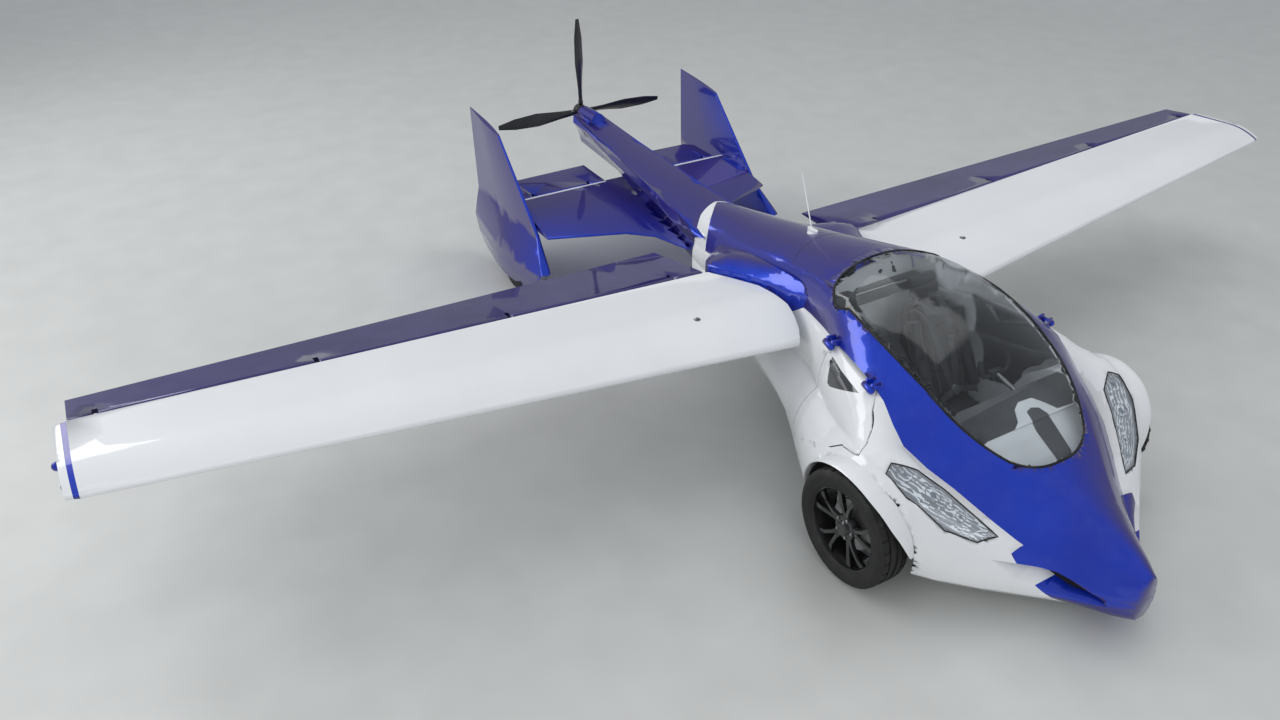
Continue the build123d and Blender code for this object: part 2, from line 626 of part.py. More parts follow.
fin = Solid.make_loft([fin_section(r) for r in FIN], ruled=True) - side_prism(FIN_TOP)
well_half = REAR_W / 2 + 12
well_in, well_out = REAR_WHEEL_X - well_half, REAR_WHEEL_X + well_half
well = cyl((well_in, REAR_AXLE_Y, REAR_R), (well_out, REAR_AXLE_Y, REAR_R), REAR_R + 15)
well = well + box(well_in, well_out, REAR_AXLE_Y - REAR_R, REAR_AXLE_Y + REAR_R, 0, REAR_R)
RIM_SHARE = 0.82
rear_face = REAR_W / 2 * RIM_SHARE
rear_stub = cyl((well_in - 14, REAR_AXLE_Y, REAR_R), (REAR_WHEEL_X + rear_face * 0.70 - 4, REAR_AXLE_Y, REAR_R),
                REAR_STUB_R)
fin = biggest(fin - well - rear_stub)
half_plane = biggest(half_plane - fin - boom_form)
half_plane = biggest(half_plane - rear_fairing)
tailplane = half_plane + other_side(half_plane)
tailplane = biggest(tailplane - cyl((-220, TP_HINGE_Y, TP_HINGE_Z), (220, TP_HINGE_Y, TP_HINGE_Z), 22))


# Wheels
def tyre(x, y, r, w, rim_r):
    """A tyre with rounded shoulders, standing on the floor."""
    h = w / 2
    edges = []
    for s in (1, -1):
        edges += [
            Line((s * h * RIM_SHARE, rim_r), (s * h * 0.94, rim_r + 12)),
            ThreePointArc((s * h * 0.94, rim_r + 12), (s * h, (rim_r + r) / 2 + 4), (s * h * 0.86, r - 14)),
            ThreePointArc((s * h * 0.86, r - 14), (s * h * 0.78, r - 4), (s * h * 0.62, r - 1.5)),
        ]
    edges.append(Line((-h * RIM_SHARE, rim_r), (h * RIM_SHARE, rim_r)))
    edges.append(ThreePointArc((-h * 0.62, r - 1.5), (0, r), (h * 0.62, r - 1.5)))
    return Pos(x, y, r) * revolve(make_face(Wire(edges)), Axis.X)


def rim(x, y, wheel_r, w, r, pairs, stub_r):
    """Barrel, pairs of thin spokes and a hub that runs on the stub; the outer face looks to plus X."""
    h = w / 2 * RIM_SHARE
    body = cyl((-h, 0, 0), (h, 0, 0), r) - cyl((-h - 1, 0, 0), (h + 1, 0, 0), r - 14)
    body = body + cyl((h * 0.16, 0, 0), (h * 0.86, 0, 0), stub_r + 20)
    for i in range(pairs):
        for lean in (-11, 11):
            spoke = box(h * 0.46, h * 0.84, -8, 8, stub_r + 6, r - 6)
            body = body + Rot(360 / pairs * i + lean, 0, 0) * spoke
    body = body - cyl((-h - 1, 0, 0), (h * 0.70, 0, 0), stub_r + FIT)
    return Pos(x, y, wheel_r) * body


front_face = FRONT_W / 2 * RIM_SHARE
front_tyre = tyre(FRONT_WHEEL_X, FRONT_AXLE_Y, FRONT_R, FRONT_W, FRONT_RIM_R)
front_rim = rim(FRONT_WHEEL_X, FRONT_AXLE_Y, FRONT_R, FRONT_W, FRONT_RIM_R, 5, FRONT_STUB_R)
rear_tyre = tyre(REAR_WHEEL_X, REAR_AXLE_Y, REAR_R, REAR_W, REAR_RIM_R)
rear_rim = rim(REAR_WHEEL_X, REAR_AXLE_Y, REAR_R, REAR_W, REAR_RIM_R, 5, REAR_STUB_R)

# Steering knuckle and the arms that hold its king pin
ax = (FRONT_AXLE_Y, FRONT_R)
knuckle = cyl((KING_X - 20, *ax), (FRONT_WHEEL_X + front_face * 0.70 - 6, *ax), FRONT_STUB_R)
knuckle = knuckle + cyl((KING_X, ax[0], ax[1] - ARM_RISE + 20), (KING_X, ax[0], ax[1] + ARM_RISE - 20), 26)
knuckle = knuckle + cyl((KING_X, ax[0], ax[1] - KING_HALF), (KING_X, ax[0], ax[1] + KING_HALF), KING_R)
knuckle = knuckle + cyl((FRONT_WHEEL_X - 13, *ax), (FRONT_WHEEL_X + 1, *ax), DISC_R)
knuckle = knuckle + box(KING_X - 14, KING_X + 14, ax[0], ax[0] + 120, ax[1] - 70, ax[1] - 50)
arms = None
for z in (FRONT_R - ARM_RISE, FRONT_R + ARM_RISE):
    arm = box(ARCH_INNER_X, KING_X + 22, FRONT_AXLE_Y - 24, FRONT_AXLE_Y + 24, z - 8, z + 8)
    arm = arm - cyl((KING_X, FRONT_AXLE_Y, z - 40), (KING_X, FRONT_AXLE_Y, z + 40), KING_R + FIT)
    arms = arm if arms is None else arms + arm

# Propeller: the hub's shaft runs in the end of the boom. Columns of a blade: radius, chord, pitch, thickness.
BLADE = [(60, 46, 34, 30), (190, 62, 32, 24), (400, 104, 24, 15), (600, 84, 17, 9), (PROP_R, 34, 12, 5)]
BLADE_TILTS = (0, 91, -91)
hub = cyl((0, TAIL_Y - 190, HUB_Z), (0, PROP_Y, HUB_Z), SHAFT_R)
hub = hub + cyl((0, TAIL_Y + 14, HUB_Z), (0, PROP_BACK_Y, HUB_Z), 54)


def blade_section(row):
    r, chord, pitch, t = row
    a = math.radians(pitch)
    c, s = math.cos(a), math.sin(a)

    def at(u, v):
        return (u * c - v * s, PROP_Y + u * s + v * c, r)

    h = chord / 2
    return Wire([
        ThreePointArc(at(-h, 0), at(0, -t / 2), at(h, 0)),
        ThreePointArc(at(h, 0), at(0, t / 2), at(-h, 0)),
    ])


blade = Solid.make_loft([blade_section(r) for r in BLADE], ruled=True) + cyl((0, PROP_Y, 40), (0, PROP_Y, 90), 20)
blades = None
for tilt in BLADE_TILTS:
    one = Pos(0, 0, HUB_Z) * Rot(0, tilt, 0) * blade
    one = one - hub
    blades = one if blades is None else blades + one

# Antenna on the roof
antenna = extrude(Plane.XY.offset(1060) * Pos(0, 2560) * Ellipse(17, 46), 46) + cyl((0, 2570, 1100), (0, 2700, 1420), 3.5)
antenna = biggest(antenna - outer)

# Cabin
BULKHEAD_Y = 2060.0
SEAT_X = 290.0
SEAT_ANGLE = 28.0
bulkhead = (lining & box(-900, 900, BULKHEAD_Y, BULKHEAD_Y + 16, 0, 1400))
bulkhead = bulkhead + (lining & box(-330, 430, BULKHEAD_Y - 70, BULKHEAD_Y + 1, 868, 950))
bulkhead = biggest(bulkhead)


def seat(x):
    """Base, cushion, reclined back with side wings and a headrest."""
    base = box(x - 140, x + 140, 1330, 1600, 140, 222)
    cushion = box(x - 200, x + 200, 1290, 1640, 220, 340)
    lean = Pos(x, 1530, 300) * Rot(-SEAT_ANGLE, 0, 0)
    back = lean * Pos(0, 40, 320) * Box(400, 80, 640)
    wings = lean * Pos(-185, -30, 330) * Box(30, 80, 520) + lean * Pos(185, -30, 330) * Box(30, 80, 520)
    rest = lean * Pos(0, 30, 740) * Box(230, 70, 150)
    neck = lean * Pos(0, 40, 655) * Box(70, 30, 60)
    return (base + cushion + back + wings + rest + neck) & lining


seats = seat(SEAT_X) + seat(-SEAT_X)
PANEL_FRONT_Y = 872.0
PANEL_BACK_Y = 1130.0
panel = side_prism([(PANEL_FRONT_Y, 500), (PANEL_FRONT_Y, 672), (1000, 694), (PANEL_BACK_Y, 668), (PANEL_BACK_Y - 30, 520)])
panel = biggest(panel & cabin)
dash = side_prism([(560, 420), (560, 560), (640, 590), (PANEL_FRONT_Y, 668), (PANEL_FRONT_Y, 420)])
dash = biggest((dash & cabin) - panel)
console = biggest(box(-58, 58, 700, 1480, 100, 300) & cabin)
yokes = []
for x in (SEAT_X, -SEAT_X):
    column = cyl((x, PANEL_BACK_Y - 80, 620), (x, 1290, 672), 14)
    bar = Pos(x, 1290, 672) * Rot(-20, 0, 0) * Box(220, 34, 30)
    horns = Pos(x, 1290, 672) * Rot(-20, 0, 0) * (Pos(-98, 0, 45) * Box(28, 32, 96) + Pos(98, 0, 45) * Box(28, 32, 96))
    yokes.append(biggest(column + bar + horns - panel))
engine = biggest(box(-210, 210, 2300, 2920, 150, 640) & lining)

# Everything in its place
SINGLE = {
    "upper_body": upper_body, "lower_body": lower_body, "windshield": windshield, "rear_fairing": rear_fairing,
    "tail_boom": boom, "tailplane": tailplane, "elevator": elevator, "propeller_hub": hub,
    "propeller_blades": blades, "antenna": antenna, "rear_bulkhead": bulkhead, "seats": seats,
    "instrument_panel": panel, "dash_top": dash, "centre_console": console,
    "yokes": Compound(children=yokes), "engine_block": engine,
}
MIRRORED = {
    "front_suspension": arms, "rear_axles": rear_stub, "headlights": lamp, "nose_intake": insert,
    "wing_spars": spar, "pivot_covers": cover,
}
HANDED = {
    "door": door, "side_glass": side_glass, "wing": wing, "flap": flap, "wing_tip": tip, "fin": fin,
    "front_tyre": front_tyre, "front_rim": front_rim, "front_knuckle": knuckle,
    "rear_tyre": rear_tyre, "rear_rim": rear_rim,
}
for name, shape in SINGLE.items():
    save(shape, name)
for name, shape in MIRRORED.items():
    save(both(shape), name)
for name, shape in HANDED.items():
    save(shape, name + "_left")
    save(other_side(shape), name + "_right")
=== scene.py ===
"""Dresses a two-seat flying car over its fixed frame: paint, glass, wheels, lamps, cabin and studio."""

from __future__ import annotations

import json
import logging
import math
from dataclasses import dataclass, field
from enum import Enum
from typing import Callable, Sequence

import bpy
from mathutils import Matrix, Vector
from mathutils.bvhtree import BVHTree

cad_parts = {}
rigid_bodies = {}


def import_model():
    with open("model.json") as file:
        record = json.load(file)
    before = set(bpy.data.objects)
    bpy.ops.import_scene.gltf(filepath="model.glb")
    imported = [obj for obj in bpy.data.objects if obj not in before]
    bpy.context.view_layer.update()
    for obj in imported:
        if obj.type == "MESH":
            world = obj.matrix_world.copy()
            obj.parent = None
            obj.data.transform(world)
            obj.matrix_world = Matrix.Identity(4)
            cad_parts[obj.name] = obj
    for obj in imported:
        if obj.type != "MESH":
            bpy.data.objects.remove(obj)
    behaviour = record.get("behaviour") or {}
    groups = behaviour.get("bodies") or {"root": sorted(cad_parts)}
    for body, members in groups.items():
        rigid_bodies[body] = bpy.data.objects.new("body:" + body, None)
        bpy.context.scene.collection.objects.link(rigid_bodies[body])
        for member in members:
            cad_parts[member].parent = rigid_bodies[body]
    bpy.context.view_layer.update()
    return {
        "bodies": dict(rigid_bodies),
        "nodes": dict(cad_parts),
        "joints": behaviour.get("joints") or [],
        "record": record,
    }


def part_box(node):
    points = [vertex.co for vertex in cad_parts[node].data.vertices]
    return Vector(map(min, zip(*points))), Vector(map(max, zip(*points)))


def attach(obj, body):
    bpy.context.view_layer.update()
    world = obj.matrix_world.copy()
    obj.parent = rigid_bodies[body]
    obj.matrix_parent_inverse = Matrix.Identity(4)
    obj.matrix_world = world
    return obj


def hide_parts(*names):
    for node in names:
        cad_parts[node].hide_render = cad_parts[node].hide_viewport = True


LOG = logging.getLogger("flying_car")
Triple = tuple[float, float, float]
NOSE_TO_ORIGIN = 2.8385
SIDES = (("left", 1), ("right", -1))
FRONT_HUB = (0.881, 1.038, 0.313)
REAR_HUB = (1.024, 4.800, 0.180)
MERGE = 0.00002


def station(x: float, y: float, z: float) -> Vector:
    """A point of the frame from its distance back from the nose tip."""
    return Vector((x, y - NOSE_TO_ORIGIN, z))


def on_side(sign: int, place: Triple) -> Vector:
    """A point of the frame from its place on the left, mirrored for the right."""
    return station(sign * place[0], *place[1:])


def smooth_path(points: Sequence[Vector], steps: int = 6, closed: bool = False) -> list[Vector]:
    """Rounds a path through its points.

    Args:
        points: The points that the path goes through.
        steps: How many points it gets for each of its spans.
        closed: Whether it returns to its first point.

    Returns:
        The points of the rounded path.
    """
    count = len(points)
    spans = count if closed else count - 1

    def pick(i: int) -> Vector:
        """The point at a place, held or wrapped at the ends."""
        return points[i % count] if closed else points[min(max(i, 0), count - 1)]

    out = []
    for i in range(spans):
        p0, p1, p2, p3 = pick(i - 1), pick(i), pick(i + 1), pick(i + 2)
        for k in range(steps):
            t = k / steps
            out.append(0.5 * (2 * p1 + (p2 - p0) * t + (2 * p0 - 5 * p1 + 4 * p2 - p3) * t * t
                              + (3 * p1 - p0 - 3 * p2 + p3) * t ** 3))
    if not closed:
        out.append(points[-1].copy())
    return out


def arc(a: Vector, m: Vector, b: Vector, count: int) -> list[Vector]:
    """Points along the arc that runs from a through m to b in plan, without b.

    Args:
        a: Its start.
        m: A point that it runs through.
        b: Its end.
        count: How many points there are.

    Returns:
        The points, at height zero.
    """
    d = 2 * (a.x * (m.y - b.y) + m.x * (b.y - a.y) + b.x * (a.y - m.y))
    sa, sm, sb = a.length_squared, m.length_squared, b.length_squared
    centre = Vector(((sa * (m.y - b.y) + sm * (b.y - a.y) + sb * (a.y - m.y)) / d,
                     (sa * (b.x - m.x) + sm * (a.x - b.x) + sb * (m.x - a.x)) / d))
    radius = (a - centre).length
    start, end = ((p - centre) for p in (a, b))
    turn = math.atan2(start.x * end.y - start.y * end.x, start.dot(end))
    first = math.atan2(start.y, start.x)
    return [Vector((centre.x + radius * math.cos(first + turn * k / count),
                    centre.y + radius * math.sin(first + turn * k / count), 0)) for k in range(count)]


# Surface effects


class Tree:
    """The nodes of one material or node group, placed by short calls."""

    def __init__(self, tree: bpy.types.NodeTree) -> None:
        """Starts with an empty tree."""
        self.tree = tree
        tree.nodes.clear()

    def add(self, kind: str, **values: object) -> bpy.types.Node:
        """Places a node.

        Args:
            kind: The node's type.
            values: Its settings, and its input values with underscores for blanks.

        Returns:
            The node.
        """
        node = self.tree.nodes.new(kind)
        for key, value in values.items():
            label = key.replace("_", " ")
            if label in node.inputs:
                node.inputs[label].default_value = value
            else:
                setattr(node, key, value)
        return node

    def join(self, source: bpy.types.Node, out: str | int, target: bpy.types.Node, into: str | int) -> None:
        """Links an output to an input."""
        self.tree.links.new(source.outputs[out], target.inputs[into])

    def over(self, below: bpy.types.Node, colour: Triple, share: bpy.types.Node) -> bpy.types.Node:
        """Mixes a colour over that of another mix, by the first output of a third node.

        Args:
            below: The mix that lies below.
            colour: The colour on top.
            share: The node whose first output is the share of the colour.

        Returns:
            The new mix.
        """
        mix = self.add("ShaderNodeMix", data_type="RGBA")
        mix.inputs[7].default_value = (*colour, 1.0)
        self.join(share, 0, mix, 0)
        self.join(below, 2, mix, 6)
        return mix


class Effect(Enum):
    """The surface effects that finishes share."""

    PEEL = "Lacquer ripple"
    GRAIN = "Leather grain"
    WEAVE = "Crossed weave"
    BRUSH = "Brushed lines"
    PEBBLE = "Moulded pebble"
    CLOUD = "Slow cloud"
    FILM = "Settled dust"


class Effects:
    """Builds each shared effect once, as a node group with named inputs and outputs."""

    made: dict[Effect, bpy.types.NodeTree] = {}

    @classmethod
    def group(cls, effect: Effect) -> bpy.types.NodeTree:
        """The effect's node group, built at its first use.

        Args:
            effect: The effect.

        Returns:
            Its node group.
        """
        if effect not in cls.made:
            tree = bpy.data.node_groups.new(effect.value, "ShaderNodeTree")
            for name, way in (("Scale", "INPUT"), ("Amount", "INPUT"),
                              ("Mask", "OUTPUT"), ("Height", "OUTPUT")):
                tree.interface.new_socket(name, in_out=way, socket_type="NodeSocketFloat")
            cls.fill(effect, Tree(tree))
            cls.made[effect] = tree
        return cls.made[effect]

    @staticmethod
    def fill(effect: Effect, t: Tree) -> None:
        """Places the nodes of one effect.

        Args:
            effect: The effect.
            t: The tree of its node group.
        """
        gate = t.add("NodeGroupInput")
        out = t.add("NodeGroupOutput")
        where = t.add("ShaderNodeTexCoord")
        ramp = t.add("ShaderNodeMapRange", clamp=True)
        level = t.add("ShaderNodeMath", operation="MULTIPLY")
        if effect is Effect.WEAVE:
            a = t.add("ShaderNodeTexWave", wave_type="BANDS", bands_direction="X", Distortion=0.4)
            b = t.add("ShaderNodeTexWave", wave_type="BANDS", bands_direction="DIAGONAL", Distortion=0.4)
            both = t.add("ShaderNodeMath", operation="MULTIPLY")
            for wave in (a, b):
                t.join(where, "Object", wave, "Vector")
                t.join(gate, "Scale", wave, "Scale")
            t.join(a, "Fac", both, 0)
            t.join(b, "Fac", both, 1)
            source, slot = both, 0
        elif effect is Effect.BRUSH:
            stretch = t.add("ShaderNodeMapping", Scale=(1.0, 14.0, 14.0))
            source, slot = t.add("ShaderNodeTexNoise", Detail=6.0, Roughness=0.7), "Fac"
            t.join(where, "Object", stretch, "Vector")
            t.join(stretch, 0, source, "Vector")
            t.join(gate, "Scale", source, "Scale")
        elif effect in (Effect.GRAIN, Effect.PEBBLE):
            kind = "DISTANCE_TO_EDGE" if effect is Effect.GRAIN else "SMOOTH_F1"
            bend = t.add("ShaderNodeTexNoise", Scale=60.0, Detail=3.0)
            mix = t.add("ShaderNodeVectorMath", operation="MULTIPLY_ADD")
            mix.inputs[1].default_value = (0.004, 0.004, 0.004)
            source, slot = t.add("ShaderNodeTexVoronoi", feature=kind), 0
            t.join(where, "Object", bend, "Vector")
            t.join(bend, "Color", mix, 0)
            t.join(where, "Object", mix, 2)
            t.join(mix, 0, source, "Vector")
            t.join(gate, "Scale", source, "Scale")
        else:
            detail = {Effect.PEEL: 1.5, Effect.CLOUD: 5.0, Effect.FILM: 8.0}[effect]
            source, slot = t.add("ShaderNodeTexNoise", Detail=detail, Roughness=0.55), "Fac"
            t.join(where, "Object", source, "Vector")
            t.join(gate, "Scale", source, "Scale")
        low, high = {Effect.GRAIN: (0.0, 0.35), Effect.WEAVE: (0.05, 0.7), Effect.FILM: (0.42, 0.72),
                     Effect.CLOUD: (0.32, 0.68)}.get(effect, (0.25, 0.75))
        ramp.inputs["From Min"].default_value = low
        ramp.inputs["From Max"].default_value = high
        t.join(source, slot, ramp, "Value")
        if effect is Effect.FILM:
            face = t.add("ShaderNodeNewGeometry")
            axes = t.add("ShaderNodeSeparateXYZ")
            up = t.add("ShaderNodeMath", operation="MULTIPLY", use_clamp=True)
            t.join(face, "Normal", axes, 0)
            t.join(axes, "Z", up, 0)
            t.join(ramp, 0, up, 1)
            ramp = up
        t.join(ramp, 0, level, 0)
        t.join(gate, "Amount", level, 1)
        t.join(level, 0, out, "Mask")
        t.join(ramp, 0, out, "Height")


@dataclass(frozen=True)
class Finish:
    """One finish: a colour that varies, a gloss, a grain, the dust that lies on it, and a painted reflection
    at grazing angles where one is given.
    """

    name: str
    slot: str
    colour: Triple
    shade: Triple
    rough: float = 0.4
    metal: float = 0.0
    coat: float = 0.0
    grain: Effect = Effect.PEBBLE
    grain_scale: float = 300.0
    grain_depth: float = 0.1
    grain_height: float = 0.0004
    cloud_scale: float = 2.5
    dust: float = 0.08
    clear: float = 0.0
    sheen: float = 0.0
    ior: float = 1.5
    # Painted reflection: a dark colour mixed in at grazing angles, standing in for the dark ceiling seen in
    # the gloss.
    painted_grazing_reflection: Triple | None = None

    def material(self) -> bpy.types.Material:
        """The finish as a material, built at its first use.

        Returns:
            The material.
        """
        if self.name in bpy.data.materials:
            return bpy.data.materials[self.name]
        made = bpy.data.materials.new(self.name)
        made.use_nodes = True
        made.diffuse_color = (*self.colour, 1.0)
        t = Tree(made.node_tree)
        out = t.add("ShaderNodeOutputMaterial")
        skin = t.add("ShaderNodeBsdfPrincipled", Metallic=self.metal, IOR=self.ior, Coat_Weight=self.coat,
                     Coat_Roughness=0.02, Transmission_Weight=self.clear, Sheen_Weight=self.sheen)
        if self.clear:
            rays = t.add("ShaderNodeLightPath")
            either = t.add("ShaderNodeMath", operation="MAXIMUM")
            through = t.add("ShaderNodeBsdfTransparent", Color=(0.95, 0.97, 0.98, 1.0))
            split = t.add("ShaderNodeMixShader")
            t.join(rays, "Is Shadow Ray", either, 0)
            t.join(rays, "Is Diffuse Ray", either, 1)
            t.join(either, 0, split, 0)
            t.join(skin, 0, split, 1)
            t.join(through, 0, split, 2)
            t.join(split, 0, out, 0)
        else:
            t.join(skin, 0, out, 0)
        layers = ((Effect.CLOUD, self.cloud_scale, 1.0), (self.grain, self.grain_scale, 0.35),
                  (Effect.FILM, 9.0, self.dust))
        cloud, grain, film = (
            t.add("ShaderNodeGroup", node_tree=Effects.group(effect), Scale=scale, Amount=amount)
            for effect, scale, amount in layers)
        base = t.add("ShaderNodeMix", data_type="RGBA")
        base.inputs[6].default_value = (*self.colour, 1.0)
        base.inputs[7].default_value = (*self.shade, 1.0)
        t.join(cloud, "Mask", base, 0)
        if self.coat == 0:
            base = t.over(base, tuple(c * 0.8 for c in self.shade), grain)
        top = t.over(base, (0.62, 0.61, 0.58), film)
        # Painted reflection: towards grazing angles the colour turns to the given dark tint, standing in for
        # the dark ceiling mirrored in the paint.
        if self.painted_grazing_reflection:
            slant = t.add("ShaderNodeLayerWeight", Blend=0.5)
            share = t.add("ShaderNodeMapRange", From_Min=0.24, From_Max=0.56)
            t.join(slant, "Facing", share, "Value")
            top = t.over(top, self.painted_grazing_reflection, share)
        t.join(top, 2, skin, "Base Color")
        gloss = t.add("ShaderNodeMapRange", To_Min=self.rough, To_Max=min(self.rough + 0.12, 1.0))
        t.join(cloud, "Mask", gloss, "Value")
        t.join(gloss, 0, skin, "Roughness")
        bump = t.add("ShaderNodeBump", Strength=self.grain_depth, Distance=self.grain_height)
        t.join(grain, "Height", bump, "Height")
        t.join(bump, 0, skin, "Normal")
        return made


# The blue's dark violet tint at grazing angles is a painted reflection of the dark ceiling.
BLUE = Finish("Blue lacquer", "blue_paint", (0.003, 0.052, 0.66), (0.002, 0.030, 0.48), 0.26, 0.40, 1.0,
              Effect.PEEL, 55.0, 0.12, 0.0006, 1.3, 0.03, painted_grazing_reflection=(0.030, 0.016, 0.20))
# The flaps' blue paint darkened to violet: a painted reflection of the dark ceiling, not a paint of its own.
BLUE_PAINTED_DARK_REFLECTION = Finish("Dark violet lacquer", "blue_paint", (0.030, 0.018, 0.17), (0.022, 0.013, 0.12), 0.30, 0.25,
                1.0, Effect.PEEL, 55.0, 0.12, 0.0006, 1.3, 0.03)
WHITE = Finish("White lacquer", "white_paint", (0.80, 0.82, 0.83), (0.74, 0.76, 0.78), 0.32, 0.0, 1.0,
               Effect.PEEL, 50.0, 0.1, 0.0006, 1.2, 0.03)
GLASS = Finish("Screen glass", "clear_glass", (0.93, 0.96, 0.97), (0.90, 0.94, 0.95), 0.0, 0.0, 0.0,
               Effect.PEEL, 8.0, 0.03, 0.0003, 1.0, 0.01, 1.0, ior=1.45)
SMOKED = Finish("Smoked glass", "clear_glass", (0.035, 0.04, 0.045), (0.03, 0.033, 0.04), 0.04, 0.0, 1.0,
                Effect.PEEL, 12.0, 0.05, 0.0003, 1.0, 0.02)
LENS = Finish("Lamp cover", "lamp_lens", (0.97, 0.98, 1.0), (0.94, 0.96, 0.98), 0.0, 0.0, 1.0,
              Effect.PEEL, 20.0, 0.0, 0.0003, 1.5, 0.0, 1.0, ior=1.02)
BRIGHT = Finish("Bright reflector", "lamp_lens", (0.86, 0.87, 0.88), (0.74, 0.75, 0.77), 0.08, 1.0, 0.0,
                Effect.BRUSH, 40.0, 0.03, 0.0002, 4.0, 0.01)
SILVER = Finish("Pale lamp bowl", "lamp_lens", (0.34, 0.35, 0.37), (0.26, 0.27, 0.29), 0.32, 0.2, 0.5,
                Effect.PEEL, 30.0, 0.03, 0.0002, 3.0, 0.01)
LIT = Finish("Lamp eye", "lamp_lens", (0.30, 0.33, 0.37), (0.22, 0.24, 0.28), 0.06, 0.3, 1.0,
             Effect.PEEL, 90.0, 0.06, 0.0003, 5.0, 0.0)
STEEL = Finish("Plain steel", "steel_parts", (0.42, 0.42, 0.43), (0.32, 0.32, 0.33), 0.3, 1.0, 0.0,
               Effect.BRUSH, 40.0, 0.15, 0.0003, 5.0, 0.05)
ALLOY = Finish("Cast alloy", "cast_metal", (0.36, 0.36, 0.36), (0.26, 0.26, 0.26), 0.5, 0.9, 0.0,
               Effect.PEBBLE, 220.0, 0.3, 0.0006, 6.0, 0.1)
MOULDED = Finish("Black moulding", "black_plastic", (0.016, 0.016, 0.018), (0.024, 0.024, 0.026), 0.45, 0.0,
                 0.0, Effect.PEBBLE, 420.0, 0.25, 0.0004, 6.0, 0.05)
CARBON = Finish("Dark composite blade", "black_blade", (0.010, 0.010, 0.012), (0.020, 0.020, 0.022), 0.24,
                0.0, 0.7, Effect.WEAVE, 60.0, 0.08, 0.0003, 6.0, 0.03)
SEAL = Finish("Black rubber seal", "black_plastic", (0.010, 0.010, 0.010), (0.017, 0.017, 0.017), 0.62, 0.0,
              0.0, Effect.PEBBLE, 500.0, 0.2, 0.0003, 9.0, 0.06)
TYRE = Finish("Tyre rubber", "tyre_rubber", (0.014, 0.014, 0.014), (0.024, 0.023, 0.022), 0.66, 0.0, 0.0,
              Effect.PEBBLE, 350.0, 0.35, 0.0005, 7.0, 0.10)
RIM = Finish("Black gloss rim", "black_rim", (0.010, 0.010, 0.011), (0.020, 0.020, 0.021), 0.22, 0.3, 0.8,
             Effect.PEEL, 80.0, 0.06, 0.0003, 5.0, 0.05)
LEATHER = Finish("Black leather", "black_leather", (0.016, 0.016, 0.018), (0.030, 0.029, 0.031), 0.42, 0.0,
                 0.0, Effect.GRAIN, 320.0, 0.5, 0.0006, 8.0, 0.03, sheen=0.15)
SUEDE = Finish("Charcoal soft trim", "black_leather", (0.030, 0.032, 0.038), (0.045, 0.047, 0.053), 0.85,
               0.0, 0.0, Effect.WEAVE, 260.0, 0.25, 0.0005, 6.0, 0.04, sheen=0.4)
LINING = Finish("Pale moulded lining", "pale_lining", (0.70, 0.71, 0.72), (0.62, 0.63, 0.64), 0.5, 0.0, 0.0,
                Effect.PEBBLE, 260.0, 0.2, 0.0005, 3.0, 0.04)
WEBBING = Finish("Grey webbing", "black_leather", (0.035, 0.036, 0.040), (0.055, 0.056, 0.06), 0.75, 0.0, 0.0,
                 Effect.WEAVE, 340.0, 0.5, 0.0006, 8.0, 0.02, sheen=0.3)
SCREEN = Finish("Dark display", "black_plastic", (0.010, 0.014, 0.022), (0.016, 0.022, 0.032), 0.08, 0.0, 0.8,
                Effect.PEEL, 30.0, 0.03, 0.0002, 4.0, 0.01)
RED = Finish("Red lamp cover", "lamp_lens", (0.55, 0.02, 0.02), (0.42, 0.01, 0.01), 0.08, 0.0, 0.9,
             Effect.PEEL, 60.0, 0.05, 0.0003, 6.0, 0.01)


# Modelling steps


